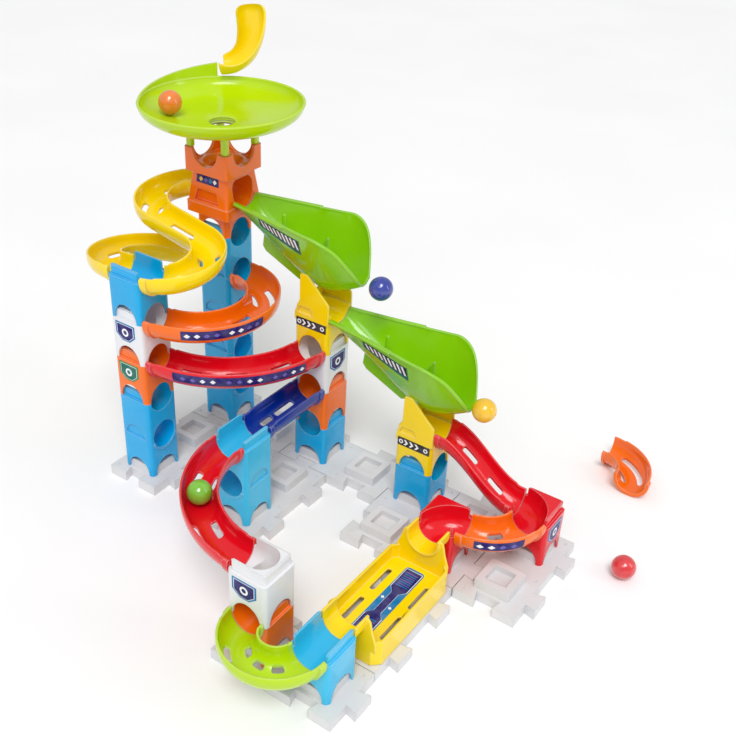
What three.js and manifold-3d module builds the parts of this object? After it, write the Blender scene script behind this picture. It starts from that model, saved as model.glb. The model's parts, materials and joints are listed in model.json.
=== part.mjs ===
// Toy marble run: nine towers of stacking plastic blocks on interlocking base tiles, joined by
// open half-pipe tracks, with a swirl funnel on the tallest tower and two tipping ramps.
// Millimetres, +Z up. The origin is on the floor, in the middle of the footprint.
import * as THREE from 'three';
import { mergeVertices } from 'three/addons/utils/BufferGeometryUtils.js';
import Module from 'manifold-3d';

// Driving dimensions
const COLUMN = 40; // outer width of a tower block
const PITCH = 62.5; // distance between neighbouring cells of the base grid
const LEVEL = 44.5; // height that one block adds to its tower
const MARBLE_RADIUS = 11.5;
const TILE_HEIGHT = 11; // thickness of a base tile
const PLUG_HEIGHT = 9.5; // raised square on a tile that a tower stands over
const WALL = 2.2; // moulded wall thickness
const GAP = 0.3; // clearance between neighbouring pieces

// Half-pipe channel, shared by the block tops and the tracks
const PIPE = 15; // inner radius of the half-pipe
const PIPE_CENTRE = 1.5; // height of the pipe's centre above the level line
const TRACK_RIM = 5.5; // height of a track's rim above the pipe's centre
const COLLAR = 1.6; // extra thickness of a track's end collar
const COLLAR_LENGTH = 5;
const SLOT_WIDTH = 5; // drain slots in the tracks and the tray
const SLOT_PLACE = 8.5; // a track's two rows of slots, from its middle line

// Block details
const HALF = COLUMN / 2;
const CORNER = 4.5; // corner radius of a block
const TOP_HEIGHT = 10; // inset top that the next block sleeves over
const TOP_HALF = HALF - WALL - GAP;
const SKIRT_HALF = HALF - WALL;
const SKIRT_HEIGHT = 17;
const ARCH_HALF = 14.5;
const ARCH_HEIGHT = 16.8;
const DROP_RADIUS = 13.5;
const DROP_DEPTH = 8; // depth of the bowl around a drop hole, below the level line
const RECESS = 1.6; // depth of the blind arch half-way up a double block

// Tall tower head
const BAND_HALF = 27; // splitter's band and crown
const BAND_BOTTOM = 22;
const BAND_TOP = 33;
const HEAD_TOP = 64; // top of the splitter's tapered body, above its base
const HEAD_TOP_HALF = 22;
const CROWN_HEIGHT = 24;
const CROWN_NOTCH = 16;
const FUNNEL_RADIUS = 80;
const FUNNEL_RIM = 130; // height of the funnel's rim above the splitter's base
const FUNNEL_HOLE = 13;

// Tipping ramp, measured from the axis of the tower it hooks onto
const RAMP_WIDEST = 134;
const RAMP_TIP = 171;
const RAMP_RIM = 39;

// Other driving dimensions
const TAPER_FOOT_HALF = 26.2;
const LEG_PLACE = 22; // funnel legs, from the tower's axis
const LEG_HALF = 3;
const LEG_TOP = 110.5; // above the splitter's base
const CHUTE_PIPE = 13;
const CHUTE_HEADING = 0.558; // direction the chute leans away from the funnel, radians from +X
const CHUTE_TILT = 1.75; // how far its opening turns towards the front by its top, radians
const TRAY_LENGTH = 3 * PITCH - COLUMN;
const TRAY_HALF = 30;
const TRAY_RIM = 27;
const TRAY_FLOOR = 12;
const TRAY_SLOTS = { x: 20, y: 22, halfLength: 16 }; // middle and half-length of its four drain slots
const PLUG_HALF = SKIRT_HALF - GAP;
const PLUG_RECESS = 10; // half-width of the square recess in a plug
const PLUG_RECESS_DEPTH = 6;
const TILE_GAP = 0.4; // play around each tile

// Dovetail that locks neighbouring tiles: one per cell edge, centred on it. Tabs stand out of the
// +X and +Y edges, and sockets are cut into the -X and -Y edges.
const DOVETAIL_NECK = 8.8; // half-width where it leaves the edge
const DOVETAIL_HEAD = 11.3; // half-width at its outer end
const DOVETAIL_REACH = 10;

const SEGMENTS = 10; // facets of a full circle in the channels
const CORNER_SEGMENTS = 1; // facets of a rounded corner
const ARCH_SEGMENTS = 4;
const FACET_RISE = 0.8; // how far a flat facet in a channel's floor stands above the true curve

const wasm = await Module();
wasm.setup();

// ---------------------------------------------------------------- materials

function plastic(color, roughness = 0.32) {
  return new THREE.MeshStandardMaterial({ color, roughness, metalness: 0 });
}

const COLOURS = {
  sky: 0x0a9fd8,
  paleBlue: 0x4fc3ea,
  orange: 0xf07a14,
  white: 0xeeeef0,
  yellow: 0xf3c80f,
  red: 0xd7121f,
  navy: 0x0d3fa8,
  green: 0x86c21c,
  lime: 0x9bcc1d,
  tile: 0xf1f1f2,
  blue: 0x1b3fa6,
  gold: 0xf0c020,
};

// ---------------------------------------------------------------- solids

// Turns a closed geometry into a solid that can be cut and joined.
function solid(geometry) {
  const bare = geometry.clone();
  bare.deleteAttribute('normal');
  bare.deleteAttribute('uv');
  const merged = mergeVertices(bare);
  const corners = merged.index.array;
  const triVerts = [];
  for (let i = 0; i < corners.length; i += 3) {
    const [a, b, c] = [corners[i], corners[i + 1], corners[i + 2]];
    if (a !== b && b !== c && c !== a) triVerts.push(a, b, c);
  }
  return new wasm.Manifold(new wasm.Mesh({
    numProp: 3,
    vertProperties: merged.attributes.position.array,
    triVerts: new Uint32Array(triVerts),
  }));
}

function join(first, ...others) {
  return others.reduce((whole, other) => whole.add(other), first);
}

function cut(first, ...others) {
  return others.reduce((whole, other) => whole.subtract(other), first);
}

function box(x0, x1, y0, y1, z0, z1) {
  const shape = new THREE.BoxGeometry(x1 - x0, y1 - y0, z1 - z0);
  return solid(shape.translate((x0 + x1) / 2, (y0 + y1) / 2, (z0 + z1) / 2));
}

function upright(radius, z0, z1, x = 0, y = 0) {
  const shape = new THREE.CylinderGeometry(radius, radius, z1 - z0, SEGMENTS);
  return solid(shape.rotateX(Math.PI / 2).translate(x, y, (z0 + z1) / 2));
}

// A plan outline raised from z0 to z1.
function prism(outline, z0, z1) {
  const shape = new THREE.ExtrudeGeometry(outline, {
    depth: z1 - z0, bevelEnabled: false, curveSegments: CORNER_SEGMENTS,
  });
  return solid(shape.translate(0, 0, z0));
}

// An outline drawn across a passage (sideways, up), carried along x or y from one end to the other.
function passage(outline, axis, from, to, curveSegments = SEGMENTS / 2) {
  const shape = new THREE.ExtrudeGeometry(outline, { depth: to - from, bevelEnabled: false, curveSegments });
  shape.rotateX(Math.PI / 2);
  if (axis === 'x') shape.rotateZ(Math.PI / 2).translate(from, 0, 0);
  else shape.translate(0, to, 0);
  return solid(shape);
}

function roundedSquare(half, radius) {
  const outline = new THREE.Shape();
  outline.moveTo(-half + radius, -half);
  outline.lineTo(half - radius, -half);
  outline.absarc(half - radius, -half + radius, radius, -Math.PI / 2, 0);
  outline.lineTo(half, half - radius);
  outline.absarc(half - radius, half - radius, radius, 0, Math.PI / 2);
  outline.lineTo(-half + radius, half);
  outline.absarc(-half + radius, half - radius, radius, Math.PI / 2, Math.PI);
  outline.lineTo(-half, -half + radius);
  outline.absarc(-half + radius, -half + radius, radius, Math.PI, Math.PI * 1.5);
  return outline;
}

function polygon(points) {
  return new THREE.Shape(points.map(([x, y]) => new THREE.Vector2(x, y)));
}

// Arch with a half-elliptical head, standing on the line at height base.
function archOutline(halfWidth, height, base = 0) {
  const outline = new THREE.Shape();
  outline.moveTo(-halfWidth, base - 1);
  outline.lineTo(halfWidth, base - 1);
  outline.lineTo(halfWidth, base);
  outline.absellipse(0, base, halfWidth, height, 0, Math.PI);
  outline.lineTo(-halfWidth, base - 1);
  return outline;
}

// U-shaped channel with its pipe centre at height centre, open up to height top.
function channelOutline(radius, centre, top) {
  const outline = new THREE.Shape();
  outline.moveTo(-radius, top);
  outline.lineTo(-radius, centre);
  outline.absarc(0, centre, radius, Math.PI, Math.PI * 2);
  outline.lineTo(radius, top);
  return outline;
}

function roundOutline(radius, centre) {
  const outline = new THREE.Shape();
  outline.absarc(0, centre, radius, 0, Math.PI * 2);
  return outline;
}

// A thin plate bent into shape: a box whose long side follows the stations and whose width
// follows a section. pointAt(station, k, side) gives a corner, with side 0 inside and 1 outside.
function bentPlate(stations, across, pointAt) {
  const plate = new THREE.BoxGeometry(1, 1, 1, stations - 1, across, 1);
  const place = plate.attributes.position;
  for (let n = 0; n < place.count; n += 1) {
    const station = Math.round((place.getX(n) + 0.5) * (stations - 1));
    const k = Math.round((place.getY(n) + 0.5) * across);
    const corner = pointAt(station, k, place.getZ(n) > 0 ? 1 : 0);
    place.setXYZ(n, corner.x, corner.y, corner.z);
  }
  const bent = solid(plate);
  return bent.volume() > 0 ? bent : solid(turnedInsideOut(plate));
}

function turnedInsideOut(geometry) {
  const corners = geometry.index.array;
  for (let i = 0; i < corners.length; i += 3) {
    [corners[i], corners[i + 1]] = [corners[i + 1], corners[i]];
  }
  return geometry;
}

// ---------------------------------------------------------------- tracks

// Route of a track's level line: a plan path with a height at each fraction of its length.
class Route {
  constructor(plan, heightAt) {
    this.plan = plan;
    this.heightAt = heightAt;
    this.length = plan.getLength();
  }

  pointAt(u) {
    const flat = this.plan.getPointAt(u);
    return new THREE.Vector3(flat.x, flat.y, this.heightAt(u));
  }

  // Place and leftward direction at a fraction of the length. Sections stay upright, so that both
  // ends of a falling track still meet their towers squarely.
  frameAt(u) {
    const along = this.plan.getTangentAt(u);
    return { place: this.pointAt(u), left: new THREE.Vector3(-along.y, along.x, 0) };
  }
}

// Points across a half-pipe section from the left rim to the right rim.
function pipeSection(radius, rim) {
  const arc = SEGMENTS / 2;
  const points = [new THREE.Vector2(radius, PIPE_CENTRE + rim)];
  for (let k = 0; k <= arc; k += 1) {
    const angle = -Math.PI * (k / arc);
    points.push(new THREE.Vector2(radius * Math.cos(angle), PIPE_CENTRE + radius * Math.sin(angle)));
  }
  points.push(new THREE.Vector2(-radius, PIPE_CENTRE + rim));
  return points;
}

// The part of a route from fraction u0 to u1, between an inner and an outer section.
function swept(route, u0, u1, steps, inner, outer) {
  const frames = [];
  for (let n = 0; n <= steps; n += 1) frames.push(route.frameAt(u0 + (u1 - u0) * (n / steps)));
  return bentPlate(frames.length, inner.length - 1, (station, k, side) => {
    const { place, left } = frames[station];
    const across = side ? outer[k] : inner[k];
    return place.clone().addScaledVector(left, across.x).setZ(place.z + across.y);
  });
}

// A half-pipe track: thin U section, an end collar at both ends and a row of slots on each side.
function track(route, steps, slots) {
  const margin = GAP / route.length;
  const collar = COLLAR_LENGTH / route.length;
  const inner = pipeSection(PIPE, TRACK_RIM);
  const outer = pipeSection(PIPE + WALL, TRACK_RIM);
  const thick = pipeSection(PIPE + WALL + COLLAR, TRACK_RIM - 1);
  const collarInner = pipeSection(PIPE + WALL / 2, TRACK_RIM - 1);
  let body = swept(route, margin, 1 - margin, steps, inner, outer);
  body = join(
    body,
    swept(route, margin, collar, 1, collarInner, thick),
    swept(route, 1 - collar, 1 - margin, 1, collarInner, thick),
  );
  for (const [u0, u1] of slots) {
    body = cut(body, slotCutter(route, u0, u1, -SLOT_PLACE), slotCutter(route, u0, u1, SLOT_PLACE));
  }
  return body;
}

function slotCutter(route, u0, u1, middle) {
  const high = PIPE_CENTRE - PIPE + 7;
  const low = PIPE_CENTRE - PIPE - WALL - 1;
  const across = [middle + SLOT_WIDTH / 2, middle - SLOT_WIDTH / 2];
  const top = across.map((x) => new THREE.Vector2(x, high));
  const bottom = across.map((x) => new THREE.Vector2(x, low));
  return swept(route, u0, u1, 3, top, bottom);
}

function level(height) {
  return () => height;
}

function falling(from, to) {
  return (u) => from + (to - from) * u;
}

function easing(from, to) {
  return (u) => from + (to - from) * (1 - Math.cos(Math.PI * u)) / 2;
}

function arcPlan(x, y, radius, fromDegrees, toDegrees) {
  const plan = new THREE.Path();
  const [from, to] = [fromDegrees, toDegrees].map(THREE.MathUtils.degToRad);
  plan.absarc(x, y, radius, from, to, to < from);
  return plan;
}

function straightPlan(x0, y0, x1, y1) {
  const plan = new THREE.Path();
  plan.moveTo(x0, y0);
  plan.lineTo(x1, y1);
  return plan;
}

// ---------------------------------------------------------------- tower blocks

// Legs, arches and the hollow foot that sleeves over the top of the block below.
function footCutters() {
  const arch = archOutline(ARCH_HALF, ARCH_HEIGHT);
  return [
    box(-SKIRT_HALF, SKIRT_HALF, -SKIRT_HALF, SKIRT_HALF, -1, SKIRT_HEIGHT),
    passage(arch, 'x', -HALF - 1, HALF + 1, ARCH_SEGMENTS),
    passage(arch, 'y', -HALF - 1, HALF + 1, ARCH_SEGMENTS),
  ];
}

function blockBody(height) {
  return join(
    prism(roundedSquare(HALF, CORNER), 0, height),
    prism(roundedSquare(TOP_HALF, CORNER - WALL), height - 1, height + TOP_HEIGHT),
  );
}

function topChannel(height) {
  return channelOutline(PIPE, height + PIPE_CENTRE, height + TOP_HEIGHT + 1);
}

// Half-channel from the middle of the block's top out through one face.
function exitCutter(direction, height) {
  const [sign, axis] = direction;
  const [near, far] = sign === '+' ? [0, HALF + 1] : [-HALF - 1, 0];
  return passage(topChannel(height), axis, near, far);
}

// Round-bottomed pocket at the closed end of a half-channel.
function pocketCutter(height) {
  const ball = new THREE.SphereGeometry(PIPE, SEGMENTS, SEGMENTS / 2);
  const centre = height + PIPE_CENTRE;
  ball.rotateX(Math.PI / 2).translate(0, 0, centre);
  return join(solid(ball), upright(PIPE, centre, height + TOP_HEIGHT + 1));
}

// Block with a straight channel across its top; a double one has a tunnel half-way up as well.
function channelBlock(axis, levels = 1) {
  const height = LEVEL * levels;
  const cutters = [...footCutters(), passage(topChannel(height), axis, -HALF - 1, HALF + 1)];
  const sideways = axis === 'x' ? 'y' : 'x';
  for (let n = 1; n < levels; n += 1) {
    cutters.push(passage(roundOutline(PIPE, LEVEL * n + PIPE_CENTRE), axis, -HALF - 1, HALF + 1, SEGMENTS));
    const recess = archOutline(ARCH_HALF - 1, ARCH_HEIGHT - 4, LEVEL * n);
    cutters.push(passage(recess, sideways, HALF - RECESS, HALF + 1, ARCH_SEGMENTS));
    cutters.push(passage(recess, sideways, -HALF - 1, -HALF + RECESS, ARCH_SEGMENTS));
  }
  return cut(blockBody(height), ...cutters);
}

// Block that takes a marble in through one face and drops it through its floor.
function dropBlock(direction) {
  const hole = upright(DROP_RADIUS, SKIRT_HEIGHT - 1, LEVEL + TOP_HEIGHT);
  const bowl = upright(PIPE, LEVEL - DROP_DEPTH, LEVEL + TOP_HEIGHT + 1);
  return cut(blockBody(LEVEL), ...footCutters(), exitCutter(direction, LEVEL), bowl, hole);
}

// Block that catches a dropped marble and turns it out through one face.
function turnBlock(direction) {
  return cut(blockBody(LEVEL), ...footCutters(), exitCutter(direction, LEVEL), pocketCutter(LEVEL));
}

// Block whose channel bends a quarter turn about the corner (cornerX, cornerY) of its top.
function curveBlock(cornerX, cornerY) {
  const middle = THREE.MathUtils.radToDeg(Math.atan2(-cornerY, -cornerX));
  const plan = arcPlan(cornerX * HALF, cornerY * HALF, HALF, middle - 60, middle + 60);
  const route = new Route(plan, level(LEVEL));
  const pipe = pipeSection(PIPE, TOP_HEIGHT);
  const lid = pipe.map(({ x }) => new THREE.Vector2(x, TOP_HEIGHT + 3));
  return cut(blockBody(LEVEL), ...footCutters(), swept(route, 0, 1, 5, lid, pipe));
}

// Catcher: a turn block with a back wall and two tall side cheeks that guide a falling marble in.
function catcherBlock() {
  const cheek = polygon([[-HALF, 30], [-HALF, 38], [-15, 51], [-14, 81], [-6, 81], [HALF, 55], [HALF, 34]]);
  const back = polygon([[-TOP_HALF, 40], [-TOP_HALF, 58], [0, 52], [TOP_HALF, 58], [TOP_HALF, 40]]);
  const cheekWall = [[-HALF, -HALF + WALL], [HALF - WALL, HALF]];
  const cheeks = cheekWall.map(([y0, y1]) => passage(cheek, 'y', y0, y1));
  const niche = polygon([[-17, 38.5], [-14.5, 45.5], [-1, 45.5], [1.5, 38.5]]);
  const body = join(
    cut(prism(roundedSquare(HALF, CORNER), 0, LEVEL), passage(niche, 'y', -HALF - 1, -HALF + 1.2)),
    passage(back, 'x', -15.5, -15.5 + WALL),
    ...cheeks,
  );
  const mouth = passage(channelOutline(PIPE, LEVEL + PIPE_CENTRE, LEVEL + 40), 'x', 0, HALF + 4);
  return cut(body, ...footCutters(), mouth, pocketCutter(LEVEL));
}

// ---------------------------------------------------------------- head of the tall tower

// Splitter: foot, wide band, tapered body, and a half-pipe that lets marbles out on both sides.
function splitter() {
  const rise = HEAD_TOP - BAND_TOP + 2;
  const taper = new THREE.CylinderGeometry(HEAD_TOP_HALF * Math.SQRT2, TAPER_FOOT_HALF * Math.SQRT2, rise, 4);
  taper.rotateY(Math.PI / 4).rotateX(Math.PI / 2).translate(0, 0, HEAD_TOP - rise / 2);
  const body = join(
    prism(roundedSquare(HALF, CORNER), 0, BAND_BOTTOM + 1),
    prism(roundedSquare(BAND_HALF, 3), BAND_BOTTOM, BAND_TOP),
    solid(taper),
  );
  const window = new THREE.Shape();
  window.moveTo(-PIPE, LEVEL + 9);
  window.lineTo(-PIPE, LEVEL + PIPE_CENTRE);
  window.absarc(0, LEVEL + PIPE_CENTRE, PIPE, Math.PI, Math.PI * 2);
  window.lineTo(PIPE, LEVEL + 9);
  window.lineTo(9, LEVEL + 15);
  window.lineTo(-9, LEVEL + 15);
  const niche = polygon([[-17, 35], [-13.5, 47], [11, 47], [14.5, 35]]);
  const nicheFloor = BAND_HALF - 6.5;
  return cut(
    body,
    ...footCutters(),
    passage(window, 'x', -BAND_HALF - 1, BAND_HALF + 1),
    upright(DROP_RADIUS, LEVEL, HEAD_TOP + 1),
    passage(niche, 'y', -BAND_HALF - 1, -nicheFloor),
    passage(niche, 'y', nicheFloor, BAND_HALF + 1),
  );
}

// Crown: square frame with a U-shaped notch in each wall, carrying the funnel's legs.
function crown() {
  const inner = BAND_HALF - WALL - 1;
  const notch = channelOutline(CROWN_NOTCH, CROWN_HEIGHT, CROWN_HEIGHT + 1);
  return cut(
    prism(roundedSquare(BAND_HALF, 3), 0, CROWN_HEIGHT),
    prism(roundedSquare(inner, 2), 5, CROWN_HEIGHT + 1),
    upright(DROP_RADIUS, -1, 10),
    passage(notch, 'x', -BAND_HALF - 1, BAND_HALF + 1),
    passage(notch, 'y', -BAND_HALF - 1, BAND_HALF + 1),
  );
}

// Swirl funnel: shallow dish with a centre hole, a rising entry wall and four legs.
// Heights are measured from the splitter's base.
function funnel() {
  const lower = [[FUNNEL_HOLE, 104], [16.5, 108.4], [53, 111.8], [68, 115.5], [77, 122.5],
    [FUNNEL_RADIUS, FUNNEL_RIM]];
  const upper = [[77.5, FUNNEL_RIM], [74.5, 124], [66, 118.5], [52, 114.5], [FUNNEL_HOLE, 111],
    [FUNNEL_HOLE, 104]];
  const profile = [...lower, ...upper].map(([radius, height]) => new THREE.Vector2(radius, height));
  const dish = new THREE.LatheGeometry(profile, 2 * SEGMENTS);
  let body = solid(dish.rotateX(Math.PI / 2));
  const legBottom = HEAD_TOP + CROWN_HEIGHT;
  for (const [x, y] of [[1, 1], [1, -1], [-1, 1], [-1, -1]]) {
    const leg = box(-LEG_HALF, LEG_HALF, -LEG_HALF, LEG_HALF, legBottom, LEG_TOP);
    body = body.add(leg.translate([x * LEG_PLACE, y * LEG_PLACE, 0]));
  }
  return body.add(entryWall());
}

// Wall that climbs along the funnel's rim and steers a marble from the chute into the dish.
function entryWall() {
  const stations = 12;
  return bentPlate(stations, 1, (station, k, side) => {
    const along = station / (stations - 1);
    const angle = THREE.MathUtils.degToRad(218 - 84 * along);
    const radius = side ? FUNNEL_RADIUS - 0.2 : FUNNEL_RADIUS - WALL;
    const height = k ? FUNNEL_RIM + 0.5 + 14 * along : FUNNEL_RIM - 3;
    return new THREE.Vector3(radius * Math.cos(angle), radius * Math.sin(angle), height);
  });
}

// Chute: a steep half-pipe that drops a marble onto the funnel's rim.
function chute() {
  const away = new THREE.Vector3(Math.cos(CHUTE_HEADING), Math.sin(CHUTE_HEADING), 0);
  const aside = new THREE.Vector3(away.y, -away.x, 0);
  const start = new THREE.Vector3(-54.5, 61, 0);
  const bends = [[0.5, 147], [12, 149], [22.5, 157], [29, 171], [31.5, 186], [31, 199]];
  const route = new THREE.CatmullRomCurve3(bends.map(([run, height]) => (
    start.clone().addScaledVector(away, run).setZ(height))));
  const [stations, facets] = [11, 7];
  return bentPlate(stations, facets, (station, k, side) => {
    const u = station / (stations - 1);
    const along = route.getTangentAt(u);
    const open = aside.clone().cross(along).applyAxisAngle(along, CHUTE_TILT * u);
    const across = open.clone().cross(along);
    const angle = Math.PI * (k / facets);
    const radius = side ? CHUTE_PIPE + WALL : CHUTE_PIPE;
    return route.getPointAt(u)
      .addScaledVector(across, radius * Math.cos(angle))
      .addScaledVector(open, -radius * Math.sin(angle));
  });
}

// ---------------------------------------------------------------- tipping ramps

// Half-width, floor height and rim height of the ramp's scoop at a distance from the tower's axis.
const RAMP_LINES = [
  [60, 21, 9.5, RAMP_RIM], [98, 28.5, -13.5, RAMP_RIM],
  [120, 33, -22.5, RAMP_RIM], [RAMP_WIDEST, 35, -23.5, RAMP_RIM], [146, 32.5, -20.5, 35],
  [156, 26.5, -16.5, 27], [164, 18, -12.5, 13], [RAMP_TIP, 7, -8.5, -4.5],
];

function rampShell(start) {
  const lines = [[start, 14.5, 30.6, RAMP_RIM], ...RAMP_LINES];
  const facets = 8;
  return bentPlate(lines.length, facets, (station, k, side) => {
    const [x, halfWidth, floor, rim] = lines[station];
    const across = 1 - 2 * (k / facets);
    const skin = side ? WALL : 0;
    return new THREE.Vector3(
      x,
      across * (halfWidth + skin),
      floor + (rim - floor) * across ** 2 - skin * (1 - across ** 4),
    );
  });
}

// One-piece ramp hooked onto a spout at distance start: scoop, keel under it, a post and a fin.
function tippingRamp(start) {
  const keel = polygon([[50, -4], [54, -9], [96, -27], [114, -21.2], [98, -14.6], [60, 8.4], [52, 12]]);
  const fin = polygon([[126, -24.4], [140, -23.6], [132, -4]]);
  return join(
    rampShell(start),
    passage(keel, 'y', -WALL / 2, WALL / 2),
    passage(fin, 'y', -1, 1),
    upright(2.2, 1, 26, 66),
  );
}

// ---------------------------------------------------------------- tray

// Long collecting tray between two towers; y runs along it, with its middle at the origin.
function tray() {
  const half = TRAY_LENGTH / 2 - GAP;
  const bay = half - 15;
  const outer = prism(trayOutline(TRAY_HALF, bay, 7), 0.5, TRAY_RIM);
  const inner = prism(trayOutline(TRAY_HALF - WALL, bay - WALL, 5), TRAY_FLOOR, TRAY_RIM + 1);
  const lower = prism(trayOutline(TRAY_HALF - WALL - 1, bay - WALL - 1, 5), -1, TRAY_FLOOR - WALL);
  const spout = channelOutline(PIPE + WALL, LEVEL + PIPE_CENTRE, LEVEL + 7);
  const bore = passage(channelOutline(PIPE, LEVEL + PIPE_CENTRE, LEVEL + 8), 'y', -half - 1, half + 1);
  const shoulder = TRAY_HALF - 3;
  const endWall = polygon([
    [-shoulder, TRAY_RIM - 10], [shoulder, TRAY_RIM - 10], [shoulder, TRAY_RIM], [PIPE + 6, LEVEL],
    [PIPE + 3, LEVEL + 6], [-PIPE - 3, LEVEL + 6], [-PIPE - 6, LEVEL], [-shoulder, TRAY_RIM],
  ]);
  let body = cut(outer, inner, lower);
  for (const end of [-1, 1]) {
    const [y0, y1] = end < 0 ? [-half, -bay + 4] : [bay - 4, half];
    const [w0, w1] = end < 0 ? [-bay, -bay + WALL] : [bay - WALL, bay];
    body = join(body, passage(spout, 'y', y0, y1), passage(endWall, 'y', w0, w1));
  }
  body = cut(body, bore);
  const { x: slotX, y: slotY, halfLength } = TRAY_SLOTS;
  for (const x of [-slotX, slotX]) {
    for (const y of [-slotY, slotY]) {
      const [x0, x1] = [x - SLOT_WIDTH / 2, x + SLOT_WIDTH / 2];
      body = cut(body, box(x0, x1, y - halfLength, y + halfLength, 5, TRAY_FLOOR + 1));
    }
  }
  return body;
}

function trayOutline(halfWidth, halfLength, chamfer) {
  return polygon([
    [-halfWidth + chamfer, -halfLength], [halfWidth - chamfer, -halfLength],
    [halfWidth, -halfLength + chamfer], [halfWidth, halfLength - chamfer],
    [halfWidth - chamfer, halfLength], [-halfWidth + chamfer, halfLength],
    [-halfWidth, halfLength - chamfer], [-halfWidth, -halfLength + chamfer],
  ]);
}

// ---------------------------------------------------------------- base tiles

// Outline of a tile of columns x rows cells, with its lower left corner at the origin.
function tileOutline(columns, rows) {
  const sides = [
    { from: [0, 0], heading: [1, 0], cells: columns, out: -1 },
    { from: [columns, 0], heading: [0, 1], cells: rows, out: 1 },
    { from: [columns, rows], heading: [-1, 0], cells: columns, out: 1 },
    { from: [0, rows], heading: [0, -1], cells: rows, out: -1 },
  ];
  const points = [];
  for (const { from, heading: [hx, hy], cells, out } of sides) {
    const onEdge = (run, outwards) => [
      from[0] * PITCH + hx * run + hy * (outwards - TILE_GAP),
      from[1] * PITCH + hy * run - hx * (outwards - TILE_GAP),
    ];
    points.push(onEdge(TILE_GAP, 0));
    const neck = DOVETAIL_NECK - out * TILE_GAP / 2;
    const head = DOVETAIL_HEAD - out * TILE_GAP / 2;
    const reach = out * DOVETAIL_REACH;
    for (let cell = 0; cell < cells; cell += 1) {
      const middle = (cell + 0.5) * PITCH;
      points.push(
        onEdge(middle - neck, 0), onEdge(middle - head, reach),
        onEdge(middle + head, reach), onEdge(middle + neck, 0),
      );
    }
  }
  return polygon(points);
}

function tile(columns, rows) {
  let body = prism(tileOutline(columns, rows), 0, TILE_HEIGHT).translate([-PITCH / 2, -PITCH / 2, 0]);
  for (let column = 0; column < columns; column += 1) {
    for (let row = 0; row < rows; row += 1) {
      const top = TILE_HEIGHT + PLUG_HEIGHT;
      const plug = cut(
        box(-PLUG_HALF, PLUG_HALF, -PLUG_HALF, PLUG_HALF, TILE_HEIGHT - 1, top),
        box(-PLUG_RECESS, PLUG_RECESS, -PLUG_RECESS, PLUG_RECESS, top - PLUG_RECESS_DEPTH, top + 1),
      );
      body = body.add(plug.translate([column * PITCH, row * PITCH, 0]));
    }
  }
  return body;
}

// ---------------------------------------------------------------- assembly

const run = new THREE.Group();

function place(name, body, colour, x, y, z, roughness) {
  const mesh = new THREE.Mesh(bufferOf(body), plastic(colour, roughness));
  mesh.name = name;
  mesh.position.set(x, y, z);
  run.add(mesh);
  return mesh;
}

function bufferOf(body) {
  const { vertProperties, triVerts } = body.getMesh();
  const geometry = new THREE.BufferGeometry();
  geometry.setAttribute('position', new THREE.BufferAttribute(vertProperties, 3));
  geometry.setIndex(new THREE.BufferAttribute(triVerts, 1));
  geometry.computeVertexNormals();
  return geometry;
}

// A tower's pieces, listed from the tile upwards as [name, body, colour, levels].
function tower(column, row, pieces) {
  let height = TILE_HEIGHT;
  for (const [name, body, colour, levels] of pieces) {
    place(name, body, colour, column * PITCH, row * PITCH, height);
    height += levels * LEVEL;
  }
}

const TILES = [
  [0, 0, 1, 2], [0, 2, 2, 1], [2, 2, 2, 1], [2, 0, 1, 2], [4, 1, 1, 2],
  [5, 1, 1, 2], [6, 1, 1, 2], [5, -1, 1, 2], [4, -2, 2, 1],
];
TILES.forEach(([column, row, columns, rows], n) => {
  place(`base_tile_${n + 1}`, tile(columns, rows), COLOURS.tile, column * PITCH, row * PITCH, 0, 0.4);
});

tower(0, 0, [
  ['left_double_block', channelBlock('x', 2), COLOURS.sky, 2],
  ['left_turn_block', turnBlock('+x'), COLOURS.orange, 1],
  ['left_drop_block', dropBlock('+x'), COLOURS.white, 1],
  ['left_top_block', channelBlock('x'), COLOURS.sky, 1],
]);
tower(0, 2, [
  ['tall_lower_double_block', channelBlock('x', 2), COLOURS.sky, 2],
  ['tall_upper_double_block', channelBlock('x', 2), COLOURS.sky, 2],
  ['tall_top_block', channelBlock('x'), COLOURS.sky, 1],
  ['splitter', splitter(), COLOURS.orange, 0],
  ['swirl_funnel', funnel(), COLOURS.lime, 0],
  ['entry_chute', chute(), COLOURS.yellow, 0],
  ['splitter_crown', crown().translate([0, 0, HEAD_TOP]), COLOURS.orange, 1],
]);
tower(2, 2, [
  ['middle_block', channelBlock('y'), COLOURS.sky, 1],
  ['middle_turn_block', turnBlock('-y'), COLOURS.orange, 1],
  ['middle_drop_block', dropBlock('-y'), COLOURS.white, 1],
  ['middle_catcher', catcherBlock(), COLOURS.yellow, 1],
]);
tower(2, 0, [['front_double_block', channelBlock('y', 2), COLOURS.paleBlue, 2]]);
tower(4, 2, [
  ['right_block', channelBlock('x'), COLOURS.sky, 1],
  ['right_catcher', catcherBlock(), COLOURS.yellow, 1],
]);
tower(4, -2, [
  ['front_turn_block', turnBlock('-y'), COLOURS.orange, 1],
  ['front_drop_block', dropBlock('-x'), COLOURS.white, 1],
]);
tower(5, -2, [['front_channel_block', channelBlock('y'), COLOURS.paleBlue, 1]]);
tower(5, 1, [['inner_curve_block', curveBlock(1, -1), COLOURS.red, 1]]);
tower(6, 2, [['outer_curve_block', curveBlock(-1, -1), COLOURS.red, 1]]);

// Level line of the k-th block top above the tiles.
function levelLine(k) {
  return TILE_HEIGHT + k * LEVEL;
}

const QUARTER = 2 * PITCH - HALF; // radius of the two long quarter curves

const doubleBend = new THREE.Path();
doubleBend.moveTo(-BAND_HALF, 2 * PITCH);
doubleBend.absarc(-BAND_HALF, 1.5 * PITCH, PITCH / 2, Math.PI / 2, Math.PI * 1.5, false);
doubleBend.lineTo(HALF, PITCH);
doubleBend.absarc(HALF, PITCH / 2, PITCH / 2, Math.PI / 2, -Math.PI / 2, true);

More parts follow.
